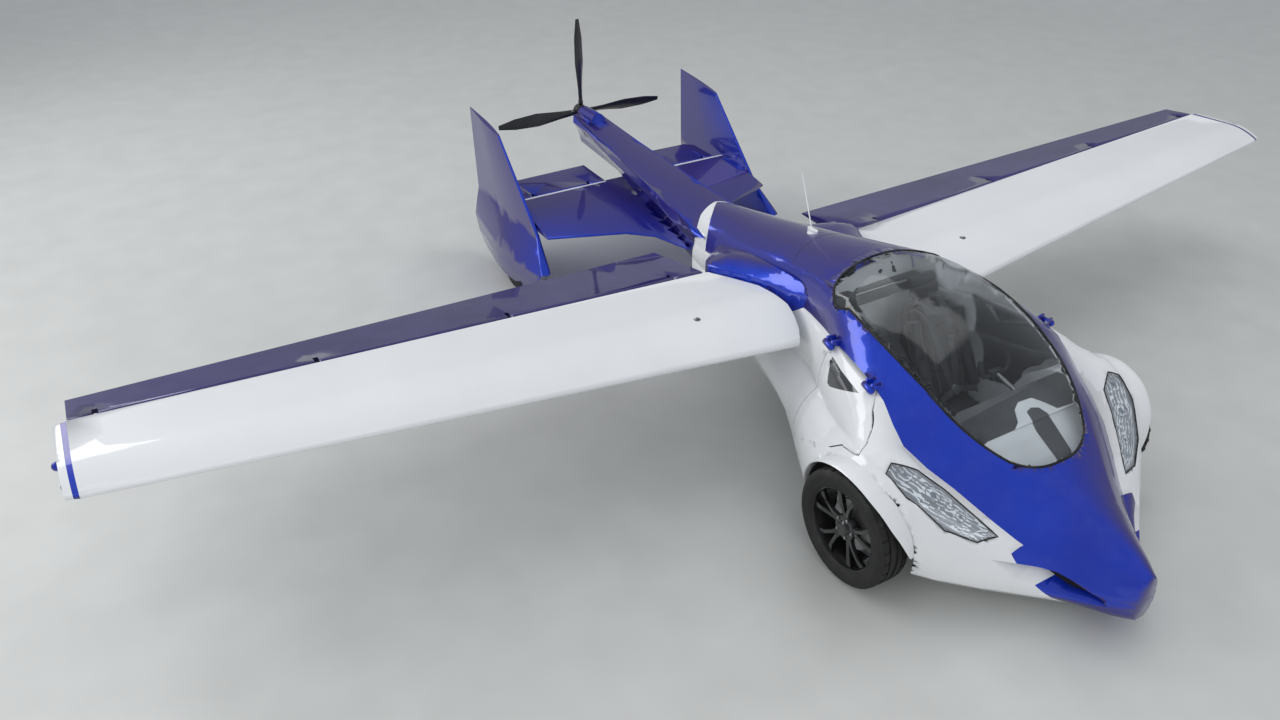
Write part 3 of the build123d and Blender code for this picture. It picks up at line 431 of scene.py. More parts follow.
class Bench:
    """Hand modelling steps. Each starts one object, leaves it in edit mode, and done() finishes it."""

    @staticmethod
    def clear() -> None:
        """Back to object mode, with nothing selected."""
        if bpy.context.object and bpy.context.object.mode != "OBJECT":
            bpy.ops.object.mode_set(mode="OBJECT")
        bpy.ops.object.select_all(action="DESELECT")

    @staticmethod
    def pick(obj: bpy.types.Object) -> None:
        """Selects one object and makes it active.

        Args:
            obj: The object.
        """
        Bench.clear()
        obj.select_set(True)
        bpy.context.view_layer.objects.active = obj

    @staticmethod
    def named(name: str) -> bpy.types.Object:
        """Names the active object and its mesh.

        Args:
            name: Its new name.

        Returns:
            The object.
        """
        obj = bpy.context.object
        obj.name = obj.data.name = name
        return obj

    @staticmethod
    def edit() -> None:
        """Edit mode for the active object, with all of it selected."""
        bpy.ops.object.mode_set(mode="EDIT")
        bpy.ops.mesh.select_all(action="SELECT")

    @staticmethod
    def keep(obj: bpy.types.Object, wanted: Callable[[bpy.types.MeshPolygon], bool]) -> None:
        """Deletes all the faces of an object that aren't wanted.

        Args:
            obj: The object.
            wanted: Says whether a face stays.
        """
        Bench.pick(obj)
        Bench.edit()
        Bench.select_faces(obj, lambda p: not wanted(p))
        bpy.ops.mesh.delete(type="FACE")
        bpy.ops.object.mode_set(mode="OBJECT")

    @staticmethod
    def chain(name: str, points: Sequence[Vector], face: bool = False) -> bpy.types.Object:
        """A line of edges drawn by extruding one vertex.

        Args:
            name: The object's name.
            points: The line's points.
            face: Whether the line is closed and filled.

        Returns:
            The object, in edit mode with all of it selected.
        """
        Bench.clear()
        bpy.ops.mesh.primitive_plane_add(size=0.01)
        obj = Bench.named(name)
        bpy.ops.object.mode_set(mode="EDIT")
        bpy.ops.mesh.select_mode(type="VERT")
        bpy.ops.mesh.select_all(action="SELECT")
        bpy.ops.mesh.merge(type="CENTER")
        bpy.ops.transform.translate(value=points[0])
        for a, b in zip(points, points[1:]):
            bpy.ops.mesh.extrude_vertices_move(TRANSFORM_OT_translate={"value": b - a})
        bpy.ops.mesh.select_all(action="SELECT")
        if face:
            bpy.ops.mesh.edge_face_add()
        return obj

    @staticmethod
    def done(obj: bpy.types.Object, finish: Finish, body: str, angle: float = 35.0) -> bpy.types.Object:
        """Merges, turns the faces outward, smooths, paints and hangs the piece on its body.

        Args:
            obj: The piece, in edit or object mode.
            finish: Its finish.
            body: The body that it rides on.
            angle: The angle over which an edge stays sharp, in degrees.

        Returns:
            The finished piece.
        """
        Bench.pick(obj)
        Bench.edit()
        bpy.ops.mesh.remove_doubles(threshold=MERGE)
        bpy.ops.mesh.normals_make_consistent(inside=False)
        bpy.ops.object.mode_set(mode="OBJECT")
        return Bench.hang(obj, finish, body, angle)

    @staticmethod
    def hang(obj: bpy.types.Object, finish: Finish, body: str, angle: float = 35.0) -> bpy.types.Object:
        """Smooths, paints and hangs a piece as it is, with its faces left the way they point.

        Args:
            obj: The piece.
            finish: Its finish.
            body: The body that it rides on.
            angle: The angle over which an edge stays sharp, in degrees.

        Returns:
            The finished piece.
        """
        Bench.pick(obj)
        bpy.ops.object.shade_smooth_by_angle(angle=math.radians(angle))
        obj.data.materials.clear()
        obj.data.materials.append(finish.material())
        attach(obj, body)
        return obj

    @staticmethod
    def placed(obj: bpy.types.Object, place: Matrix) -> bpy.types.Object:
        """Moves and turns the mesh of an object in object mode, and leaves its origin where it is.

        Args:
            obj: The object.
            place: Where its own frame goes.

        Returns:
            The object.
        """
        Bench.pick(obj)
        obj.matrix_world = place
        bpy.ops.object.transform_apply(location=True, rotation=True, scale=True)
        return obj

    @staticmethod
    def apply(obj: bpy.types.Object, kind: str, **values: object) -> None:
        """Adds a modifier, sets it and applies it.

        Args:
            obj: The object.
            kind: The modifier's type.
            values: Its settings.
        """
        Bench.pick(obj)
        modifier = obj.modifiers.new(kind.title(), kind)
        for key, value in values.items():
            setattr(modifier, key, value)
        bpy.ops.object.modifier_apply(modifier=modifier.name)

    @staticmethod
    def select_faces(obj: bpy.types.Object, wanted: Callable[[bpy.types.MeshPolygon], bool]) -> None:
        """Selects faces by their place or normal, and leaves the object in edit mode.

        Args:
            obj: The object being edited.
            wanted: Says whether a face is selected.
        """
        bpy.ops.mesh.select_mode(type="FACE")
        bpy.ops.mesh.select_all(action="DESELECT")
        bpy.ops.object.mode_set(mode="OBJECT")
        for poly in obj.data.polygons:
            poly.select = bool(wanted(poly))
        bpy.ops.object.mode_set(mode="EDIT")

    @staticmethod
    def lathe(name: str, profile: Sequence[tuple[float, float]], centre: Vector, axis: Vector,
              steps: int = 48) -> bpy.types.Object:
        """Spins a profile round an axis.

        Args:
            name: The object's name.
            profile: Pairs of distance along the axis and radius.
            centre: Where the axis has its zero.
            axis: The axis's direction.
            steps: How many steps the spin has.

        Returns:
            The object, in edit mode.
        """
        axis = axis.normalized()
        out = axis.orthogonal().normalized()
        obj = Bench.chain(name, [centre + axis * a + out * r for a, r in profile])
        bpy.ops.mesh.spin(steps=steps, angle=math.tau, center=centre, axis=axis)
        bpy.ops.mesh.select_all(action="SELECT")
        bpy.ops.mesh.remove_doubles(threshold=MERGE)
        return obj

    @staticmethod
    def plate(name: str, outline: Sequence[Vector], thick: Vector, bevel: float = 0.001) -> bpy.types.Object:
        """A flat plate from its outline, extruded and with its edges rounded.

        Args:
            name: The object's name.
            outline: The corners, in order.
            thick: How far and which way it is extruded.
            bevel: The radius of its edges.

        Returns:
            The object, in edit mode.
        """
        obj = Bench.chain(name, outline, face=True)
        bpy.ops.mesh.extrude_region_move(TRANSFORM_OT_translate={"value": thick})
        bpy.ops.mesh.select_all(action="SELECT")
        bpy.ops.mesh.normals_make_consistent(inside=False)
        if bevel:
            bpy.ops.mesh.bevel(offset=bevel, segments=2, affect="EDGES")
        return obj

    @staticmethod
    def block(name: str, centre: Vector, size: Triple, turn: Triple = (0.0, 0.0, 0.0),
              bevel: float = 0.004, segments: int = 3) -> bpy.types.Object:
        """A block with rounded edges, at its size, place and turn.

        Args:
            name: The object's name.
            centre: Its middle.
            size: Its three sizes.
            turn: Its turn about X, Y and Z in degrees.
            bevel: The radius of its edges.
            segments: How many steps a rounded edge has.

        Returns:
            The object, in edit mode.
        """
        Bench.clear()
        bpy.ops.mesh.primitive_cube_add(size=1.0)
        obj = Bench.named(name)
        Bench.edit()
        bpy.ops.transform.resize(value=size)
        for angle, axis in zip(turn, "XYZ"):
            if angle:
                bpy.ops.transform.rotate(value=-math.radians(angle), orient_axis=axis,
                                         center_override=(0, 0, 0))
        bpy.ops.transform.translate(value=centre)
        bpy.ops.mesh.bevel(offset=bevel, segments=segments, affect="EDGES")
        return obj

    @staticmethod
    def tube(name: str, path: Sequence[Vector], radius: float, closed: bool = False,
             sides: int = 3) -> bpy.types.Object:
        """A round bar along a path, drawn as a bevelled curve and made a mesh.

        Args:
            name: The object's name.
            path: The points of its middle line.
            radius: Its radius.
            closed: Whether it is a ring.
            sides: The curve's bevel resolution.

        Returns:
            The object, in object mode.
        """
        Bench.clear()
        bpy.ops.curve.primitive_nurbs_path_add()
        obj = Bench.named(name)
        obj.data.splines.clear()
        spline = obj.data.splines.new("POLY")
        spline.points.add(len(path) - 1)
        for point, place in zip(spline.points, path):
            point.co = (*place, 1.0)
        spline.use_cyclic_u = closed
        obj.data.bevel_depth = radius
        obj.data.bevel_resolution = sides
        obj.data.use_fill_caps = True
        bpy.ops.object.convert(target="MESH")
        return bpy.context.object

    @staticmethod
    def net(name: str, rows: Sequence[Sequence[Vector]]) -> bpy.types.Object:
        """A sheet over rows of points, from a flat grid whose corners are moved to them.

        Args:
            name: The sheet's name.
            rows: Equally long rows of points.

        Returns:
            The sheet, in object mode.
        """
        Bench.clear()
        wide, long = len(rows[0]) - 1, len(rows) - 1
        bpy.ops.mesh.primitive_grid_add(x_subdivisions=wide, y_subdivisions=long, size=1.0)
        obj = Bench.named(name)
        order = sorted(obj.data.vertices, key=lambda v: (round(v.co.y, 4), round(v.co.x, 4)))
        for vert, point in zip(order, [p for row in rows for p in row]):
            vert.co = point
        return obj

    @staticmethod
    def join(name: str, parts: Sequence[bpy.types.Object]) -> bpy.types.Object:
        """Joins parts of one piece into its first.

        Args:
            name: The joined piece's name.
            parts: Its parts.

        Returns:
            The joined piece, in object mode.
        """
        Bench.pick(parts[0])
        for part in parts[1:]:
            part.select_set(True)
        if len(parts) > 1:
            bpy.ops.object.join()
        return Bench.named(name)

    @staticmethod
    def flipped(obj: bpy.types.Object, name: str) -> bpy.types.Object:
        """A copy on the vehicle's other side, with its own mesh.

        Args:
            obj: The object that is copied.
            name: The copy's name.

        Returns:
            The copy, in object mode.
        """
        Bench.pick(obj)
        bpy.ops.object.duplicate(linked=False)
        copy = Bench.named(name)
        copy.parent = None
        copy.matrix_world = Matrix.Identity(4)
        Bench.edit()
        bpy.ops.transform.mirror(constraint_axis=(True, False, False), orient_type="GLOBAL",
                                 center_override=(0, 0, 0))
        bpy.ops.mesh.normals_make_consistent(inside=False)
        bpy.ops.object.mode_set(mode="OBJECT")
        return copy


class Skins:
    """Smooth painted copies of CAD nodes, and their surfaces to lay trim on."""

    def __init__(self, frame: dict) -> None:
        """Notes which body each node rides on.
        """
        self.nodes = frame["nodes"]
        self.bodies = {n: b for b, ns in frame["record"]["behaviour"]["bodies"].items() for n in ns}
        self.trees: dict[str, BVHTree] = {}

    def copy(self, node: str, name: str) -> bpy.types.Object:
        """A merged copy of a node's mesh, in object mode and unpainted.

        Args:
            node: The CAD node.
            name: The copy's name.

        Returns:
            The copy.
        """
        Bench.clear()
        obj = bpy.data.objects.new(name, self.nodes[node].data.copy())
        obj.data.name = name
        bpy.context.collection.objects.link(obj)
        Bench.pick(obj)
        Bench.edit()
        bpy.ops.mesh.remove_doubles(threshold=MERGE)
        bpy.ops.object.mode_set(mode="OBJECT")
        return obj

    def dress(self, node: str, finish: Finish, angle: float = 28.0) -> bpy.types.Object:
        """A smooth painted copy that stands for the node.

        Args:
            node: The CAD node.
            finish: Its finish.
            angle: The angle over which an edge stays sharp, in degrees.

        Returns:
            The copy.
        """
        obj = Bench.hang(self.copy(node, node + "_skin"), finish, self.bodies[node], angle)
        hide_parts(node)
        return obj

    def facing(self, node: str, name: str, keep: Callable[[bpy.types.MeshPolygon], bool], finish: Finish,
               lift: float = 0.0015, angle: float = 30.0) -> bpy.types.Object:
        """A thin lining over some faces of a node.

        Args:
            node: The CAD node.
            name: The lining's name.
            keep: Says which faces are lined.
            finish: The lining's finish.
            lift: How far it stands off the faces.
            angle: The angle over which an edge stays sharp, in degrees.

        Returns:
            The lining.
        """
        obj = self.copy(node, name)
        Bench.keep(obj, keep)
        Bench.apply(obj, "DISPLACE", strength=lift, mid_level=0.0)
        return Bench.hang(obj, finish, self.bodies[node], angle)

    def patch(self, node: str, name: str, outline: Sequence[tuple[float, float]], finish: Finish,
              lift: float = 0.0015, low: float = 0.0, high: float = 1.6) -> bpy.types.Object:
        """A patch of another finish, cut from a node by an outline in plan.

        Args:
            node: The CAD node.
            name: The patch's name.
            outline: Pairs of x and distance back from the nose tip.
            finish: The patch's finish.
            lift: How far it stands off the node.
            low: Where the patch ends below.
            high: Where it ends above.

        Returns:
            The patch.
        """
        cutter = Bench.plate(name + "_cutter", [station(x, y, low) for x, y in outline],
                             Vector((0, 0, high - low)), 0.0)
        Bench.clear()
        obj = self.copy(node, name)
        Bench.apply(obj, "DISPLACE", strength=lift, mid_level=0.0)
        Bench.apply(obj, "BOOLEAN", operation="INTERSECT", object=cutter, solver="EXACT")
        bpy.data.objects.remove(cutter)
        return Bench.hang(obj, finish, self.bodies[node], 30)

    def paint(self, node: str, finish: Finish) -> None:
        """Puts a finish on the CAD node itself.

        Args:
            node: The CAD node.
            finish: Its finish.
        """
        mesh = self.nodes[node].data
        mesh.materials.clear()
        mesh.materials.append(finish.material())

    def tree(self, node: str) -> BVHTree:
        """The node's surface, for finding points on it.

        Args:
            node: The CAD node.

        Returns:
            Its surface as a search tree.
        """
        if node not in self.trees:
            mesh = self.nodes[node].data
            self.trees[node] = BVHTree.FromPolygons([v.co.copy() for v in mesh.vertices],
                                                    [tuple(p.vertices) for p in mesh.polygons])
        return self.trees[node]

    def drop(self, nodes: Sequence[str], x: float, y: float, lift: float = 0.0) -> Vector:
        """The highest point of some nodes under a place in plan, raised along their normal.

        Args:
            nodes: The nodes looked at.
            x: The place's x.
            y: Its distance back from the nose tip.
            lift: How far it is raised.

        Returns:
            The point.
        """
        best, normal = None, Vector((0, 0, 1))
        for node in nodes:
            hit, face, _, _ = self.tree(node).ray_cast(station(x, y, 3.0), Vector((0, 0, -1)))
            if hit and (best is None or hit.z > best.z):
                best, normal = hit, face
        if best is None:
            near = [self.tree(n).find_nearest(station(x, y, 0.9)) for n in nodes]
            best, normal = min(near, key=lambda r: r[3])[:2]
        return best + normal.normalized() * lift

    def near(self, nodes: Sequence[str], place: Vector, lift: float = 0.0) -> Vector:
        """The nearest point of some nodes, raised along its normal.

        Args:
            nodes: The nodes looked at.
            place: The place that the point is nearest to.
            lift: How far it is raised.

        Returns:
            The point.
        """
        hits = [self.tree(n).find_nearest(place) for n in nodes]
        best = min(hits, key=lambda r: r[3])
        return best[0] + best[1].normalized() * lift


@dataclass
class Shell:
    """The painted body: its skins, seals and seams, and what is fixed to its roof."""

    skins: Skins
    seal: float = 0.0070
    seam: float = 0.0016
    lip_radius: float = 0.3505
    lip_reach: float = 0.985
    lip_steps: int = 40
    housing: float = 0.362
    cross_seam: tuple = ((-0.40, 2.30), (-0.2, 2.42), (0.0, 2.47), (0.2, 2.42), (0.40, 2.30))
    side_seam: tuple = ((0.36, 2.16), (0.335, 2.5), (0.30, 2.85), (0.262, 3.12))
    aerial_at: float = 2.56
    screen_edge: tuple = ((0.0, 0.594), (0.150, 0.616), (0.262, 0.684), (0.385, 0.880), (0.440, 1.120),
                          (0.463, 1.400), (0.430, 1.720), (0.395, 1.885), (0.290, 1.958), (0.150, 1.982),
                          (0.0, 1.986))

    def build(self) -> None:
        """Dresses the body."""
        for node, finish in (("upper_body", BLUE), ("lower_body", WHITE), ("rear_fairing", WHITE),
                             ("pivot_covers", BLUE), ("tail_boom", BLUE)):
            self.skins.dress(node, finish)
        self.skins.dress("windshield", GLASS, 40.0)
        self.skins.dress("nose_intake", MOULDED)
        self.fender_lips()
        self.housings()
        self.screen_seal()
        self.roof_seams()
        self.aerial()
        for node in ("engine_block", "wing_spars", "front_suspension", "rear_axles"):
            self.skins.paint(node, ALLOY if node == "engine_block" else STEEL)

    def fender_lips(self) -> None:
        """The rounded fender lips that cover the front tyres' tops."""
        for side, sign in SIDES:
            hub = on_side(sign, FRONT_HUB)
            out = Vector((sign, 0, 0))
            rows = []
            for k in range(self.lip_steps + 1):
                turn = math.radians(4 + 172 * k / self.lip_steps)
                way = Vector((0, math.cos(turn), math.sin(turn)))
                swell = math.sin(turn) ** 0.8
                skin = self.skins.near(("lower_body",), hub + way * self.housing + out * 0.06)
                edge = hub + way * self.lip_radius
                edge.x = skin.x + (sign * self.lip_reach - skin.x) * swell + sign * 0.0015
                start = hub + way * (0.385 + 0.045 * swell) + out * 0.06
                root = self.skins.near(("lower_body",), start, -0.001)
                bulge = way * 0.012 * swell + out * 0.014 * swell
                back = edge - out * (0.014 + 0.06 * swell)
                rows.append([root, root.lerp(edge, 0.28) + bulge * 0.6, root.lerp(edge, 0.55) + bulge,
                             root.lerp(edge, 0.85) + bulge * 0.7, edge, back])
            lip = Bench.net(f"fender_lip_{side}", rows)
            Bench.apply(lip, "SUBSURF", levels=1, render_levels=1)
            Bench.done(lip, WHITE, "car", 50)

    def housings(self) -> None:
        """Black liners in the front wheel housings."""
        for side, sign in SIDES:
            hub = on_side(sign, FRONT_HUB)

            def inside(poly: bpy.types.MeshPolygon) -> bool:
                """Whether a face belongs to the inside of the wheel housing.

                Args:
                    poly: The face.

                Returns:
                    Whether it is lined.
                """
                p = poly.center - hub
                if p.x * sign < -0.31 or p.x * sign > 0.30 or math.hypot(p.y, p.z) > self.housing:
                    return False
                if abs(poly.normal.x) > 0.9:
                    return poly.normal.x * sign > 0 and p.x * sign < -0.26
                return abs(poly.normal.x) < 0.3 and poly.normal.y * p.y + poly.normal.z * p.z < 0

            self.skins.facing("lower_body", f"wheel_housing_{side}", inside, MOULDED, 0.0012, 40)

    def screen_seal(self) -> None:
        """The rubber line round the windshield."""
        marks = [Vector((x, y)) for x, y in self.screen_edge]
        half = []
        for a, m, b in zip(marks[0:-2:2], marks[1:-1:2], marks[2::2]):
            half += arc(a, m, b, 14)
        half.append(Vector((*marks[-1], 0)))
        loop = half + [Vector((-p.x, p.y, 0)) for p in reversed(half[1:-1])]
        middle = Vector((0, 1.3, 0))
        path = [self.skins.drop(("windshield",), p.x, p.y, -0.0015)
                for p in (q + (middle - q).normalized() * 0.004 for q in loop)]
        ring = Bench.tube("windshield_seal", path, self.seal, closed=True)
        Bench.done(ring, SEAL, "car", 60)

    def roof_seams(self) -> None:
        """Thin dark seams where the roof panels meet."""
        lines = {"roof_seam_cross": self.cross_seam}
        for side, sign in SIDES:
            lines[f"roof_seam_{side}"] = [(sign * x, y) for x, y in self.side_seam]
        for name, points in lines.items():
            flat = smooth_path([Vector((x, y, 0)) for x, y in points], 8)
            path = [self.skins.drop(("upper_body",), p.x, p.y, -0.0006) for p in flat]
            Bench.done(Bench.tube(name, path, self.seam, sides=2), SEAL, "car", 60)

    def aerial(self) -> None:
        """The pale aerial base and its long thin whip."""
        self.skins.dress("antenna", WHITE)
        foot = self.skins.drop(("upper_body",), 0.0, self.aerial_at)
        rod = Bench.lathe("aerial_foot", [(-0.004, 0.0), (-0.004, 0.034), (0.004, 0.032), (0.012, 0.018),
                                          (0.030, 0.010), (0.034, 0.0)], foot, Vector((0, 0.05, 1)), 24)
        Bench.done(rod, WHITE, "car")


@dataclass
class Doors:
    """Both doors with their dark windows and window frames."""

    skins: Skins
    window: tuple = ((1.325, 0.852), (1.548, 0.758), (1.580, 0.758), (1.648, 0.872))
    hinge: tuple = ((0.640, 1.280, 0.892), (0.566, 1.715, 0.924))
    hinge_at: tuple = (0.020, 0.415)

    def build(self) -> None:
        """Dresses the doors."""
        for side, sign in SIDES:
            door, glass = f"door_{side}", f"side_glass_{side}"
            self.skins.dress(door, WHITE)
            self.skins.dress(glass, SMOKED)

            def inner(poly: bpy.types.MeshPolygon) -> bool:
                """Whether a face looks into the cabin."""
                return poly.normal.x * sign < -0.45

            self.skins.facing(door, f"door_card_{side}", inner, SUEDE)
            self.hinge_caps(side, sign)
            corners = [self.skins.near((door, glass), station(sign * 0.62, y, z), 0.0008)
                       for y, z in self.window]
            path = []
            for a, b in zip(corners, corners[1:] + corners[:1]):
                for k in range(8):
                    path.append(self.skins.near((door, glass), a.lerp(b, k / 8), 0.0008))
            Bench.done(Bench.tube(f"window_frame_{side}", path, 0.0065, closed=True, sides=2), SEAL, door, 60)

    def hinge_caps(self, side: str, sign: int) -> None:
        """Rounded caps over the two hinges of a door.

        Args:
            side: The side's name.
            sign: 1 on the left, -1 on the right.
        """
        front, rear = (on_side(sign, place) for place in self.hinge)
        line = (rear - front).normalized()
        half = [(0.047, 0.0005), (0.045, 0.009), (0.036, 0.0185)]
        cap = [(-a, r) for a, r in half] + half[::-1]
        caps = [Bench.lathe(f"hinge_cap_{side}_{k}", cap, front + line * along, line, 24)
                for k, along in enumerate(self.hinge_at)]
        Bench.done(Bench.join(f"hinge_caps_{side}", caps), BLUE, "car", 50)


@dataclass
class Headlamps:
    """The clear covers on the fenders, with three round lamps under each."""

    skins: Skins
    lamps: tuple = ((0.738, 0.885, 0.044), (0.664, 0.762, 0.044), (0.585, 0.645, 0.028))
    rim: tuple = ((0.452, 0.520), (0.560, 0.705), (0.662, 0.885), (0.770, 0.955), (0.828, 0.925),
                  (0.800, 0.800), (0.690, 0.640), (0.560, 0.545))
    sunk: float = 0.0195

    def build(self) -> None:
        """Splits each cover from its bowl and sets the lamps between them."""
        both = self.skins.copy("headlights", "headlight_covers")
        bowl = self.skins.copy("headlights", "headlight_bowls")

        def outer(poly: bpy.types.MeshPolygon) -> bool:
            """Whether a face belongs to the cover and not to the bowl."""
            way = Vector((math.copysign(0.35, poly.center.x), -0.45, 0.82))
            return poly.normal.dot(way.normalized()) > 0.35

        Bench.keep(both, outer)
        Bench.keep(bowl, lambda p: not outer(p))
        Bench.apply(both, "SOLIDIFY", thickness=0.003, offset=-1.0)
        Bench.pick(bowl)
        Bench.edit()
        bpy.ops.mesh.flip_normals()
        bpy.ops.object.mode_set(mode="OBJECT")
        Bench.hang(both, LENS, "car", 40)
        Bench.hang(bowl, SILVER, "car", 40)
        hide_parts("headlights")
        for side, sign in SIDES:
            self.edge_line(side, sign)
            self.round_lamps(side, sign)

    def edge_line(self, side: str, sign: int) -> None:
        """The dark rubber line round a cover.

        Args:
            side: The side's name.
            sign: 1 on the left, -1 on the right.
        """
        path = []
        middle = station(sign * 0.66, 0.75, 0.6)
        for a, b in zip(self.rim, self.rim[1:] + self.rim[:1]):
            for k in range(6):
                x, y = a[0] + (b[0] - a[0]) * k / 6, a[1] + (b[1] - a[1]) * k / 6
                inner = station(sign * x, y, 0.6).lerp(middle, 0.012)
                path.append(self.skins.drop(("headlights",), inner.x, inner.y + NOSE_TO_ORIGIN, -0.0005))
        line = Bench.tube(f"headlight_edge_{side}", path, 0.0032, closed=True, sides=2)
        Bench.done(line, SEAL, "car", 60)

    def round_lamps(self, side: str, sign: int) -> None:
        """The three round lamps under a cover, each a bright ring with a dark eye.

        Args:
            side: The side's name.
            sign: 1 on the left, -1 on the right.
        """
        rings, eyes = [], []
        for k, (x, y, r) in enumerate(self.lamps):
            top = self.skins.drop(("headlights",), sign * x, y)
            _, normal, _, _ = self.skins.tree("headlights").find_nearest(top)
            place = top - normal * self.sunk
            ring = [(0.0, r), (0.008, r), (0.013, r * 0.97), (0.013, r * 0.86), (0.006, r * 0.8),
                    (0.002, r * 0.68), (0.002, 0.0005)]
            rings.append(Bench.lathe(f"ring_{side}_{k}", ring, place, normal, 36))
            dome = [(0.002, r * 0.62), (0.006, r * 0.6), (0.010, r * 0.46), (0.0125, r * 0.24),
                    (0.013, 0.0005)]
            eyes.append(Bench.lathe(f"eye_{side}_{k}", dome, place, normal, 32))
        Bench.clear()
        Bench.done(Bench.join(f"headlight_rings_{side}", rings), BRIGHT, "car")
        Bench.done(Bench.join(f"headlight_eyes_{side}", eyes), LIT, "car")


@dataclass
class Wings:
    """The spread wings with their flaps, tips and small fittings."""

    skins: Skins
    cap_at: tuple[float, float] = (1.005, 2.285)
    end_plate: tuple = ((4.104, 2.2), (4.137, 2.2), (4.137, 3.2), (4.104, 3.2))
    lamps_at: tuple = (2.38, 2.50, 2.74)

    def build(self) -> None:
        """Dresses both wings."""
        for side, sign in SIDES:
            self.skins.dress(f"wing_{side}", WHITE, 30)
            # The flaps carry the blue paint with its painted dark reflection.
            self.skins.dress(f"flap_{side}", BLUE_PAINTED_DARK_REFLECTION, 30)
            self.skins.dress(f"wing_tip_{side}", BLUE, 30)
            plate = [(sign * x, y) for x, y in self.end_plate]
            self.skins.patch(f"wing_tip_{side}", f"tip_plate_{side}", plate, WHITE, 0.0012, 0.8, 1.2)
            self.fuel_cap(side, sign)
            self.tip_lamps(side, sign)

    def fuel_cap(self, side: str, sign: int) -> None:
        """A flush round filler cap with a dark recess.

        Args:
            side: The side's name.
            sign: 1 on the left, -1 on the right.
        """
        x, y = self.cap_at
        place = self.skins.drop((f"wing_{side}",), sign * x, y, -0.0015)
        profile = [(0.0, 0.019), (0.0032, 0.019), (0.0034, 0.016), (0.0022, 0.015), (0.0022, 0.006),
                   (0.0034, 0.005), (0.0034, 0.0005)]
        cap = Bench.lathe(f"fuel_cap_{side}", profile, place, Vector((0, 0, 1)), 32)
        Bench.done(cap, STEEL, f"wing_{side}")

    def tip_lamps(self, side: str, sign: int) -> None:
        """Small lamps along the end plate.

        Args:
            side: The side's name.
            sign: 1 on the left, -1 on the right.
        """
        low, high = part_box(f"wing_tip_{side}")
        outer = high.x if sign > 0 else low.x
        lamps = []
        for k, y in enumerate(self.lamps_at):
            place = Vector((outer - sign * 0.034, y - NOSE_TO_ORIGIN, (low.z + high.z) / 2))
            place = self.skins.near((f"wing_tip_{side}",), place, -0.004)
            dome = [(0.0, 0.013), (0.006, 0.013), (0.010, 0.008), (0.011, 0.0005)]
            lamps.append(Bench.lathe(f"lamp_{side}_{k}", dome, place, Vector((sign, 0, 0)), 20))
        Bench.done(Bench.join(f"tip_lamps_{side}", lamps), RED if side == "left" else LIT, f"wing_{side}")


@dataclass
class Tail:
    """The tailplane, elevator, fins and propeller."""

    skins: Skins
    # A white strip along the tailplane's rear top edge: a painted highlight, standing in for the light caught
    # by that edge.
    strip: tuple = ((0.17, 4.893), (0.945, 4.897), (0.945, 4.93), (0.17, 4.93))

    def build(self) -> None:
        """Dresses the tail."""
        self.skins.dress("tailplane", BLUE)
        self.skins.dress("elevator", BLUE)
        for side, sign in SIDES:
            self.skins.dress(f"fin_{side}", BLUE)
            # Painted highlight: a white strip laid along the tailplane's rear top edge.
            strip = [(sign * x, y) for x, y in self.strip]
            self.skins.patch("tailplane", f"tail_strip_{side}", strip, WHITE, 0.0015, 0.4, 0.8)
        self.skins.dress("propeller_blades", CARBON, 40)
        self.skins.dress("propeller_hub", MOULDED)


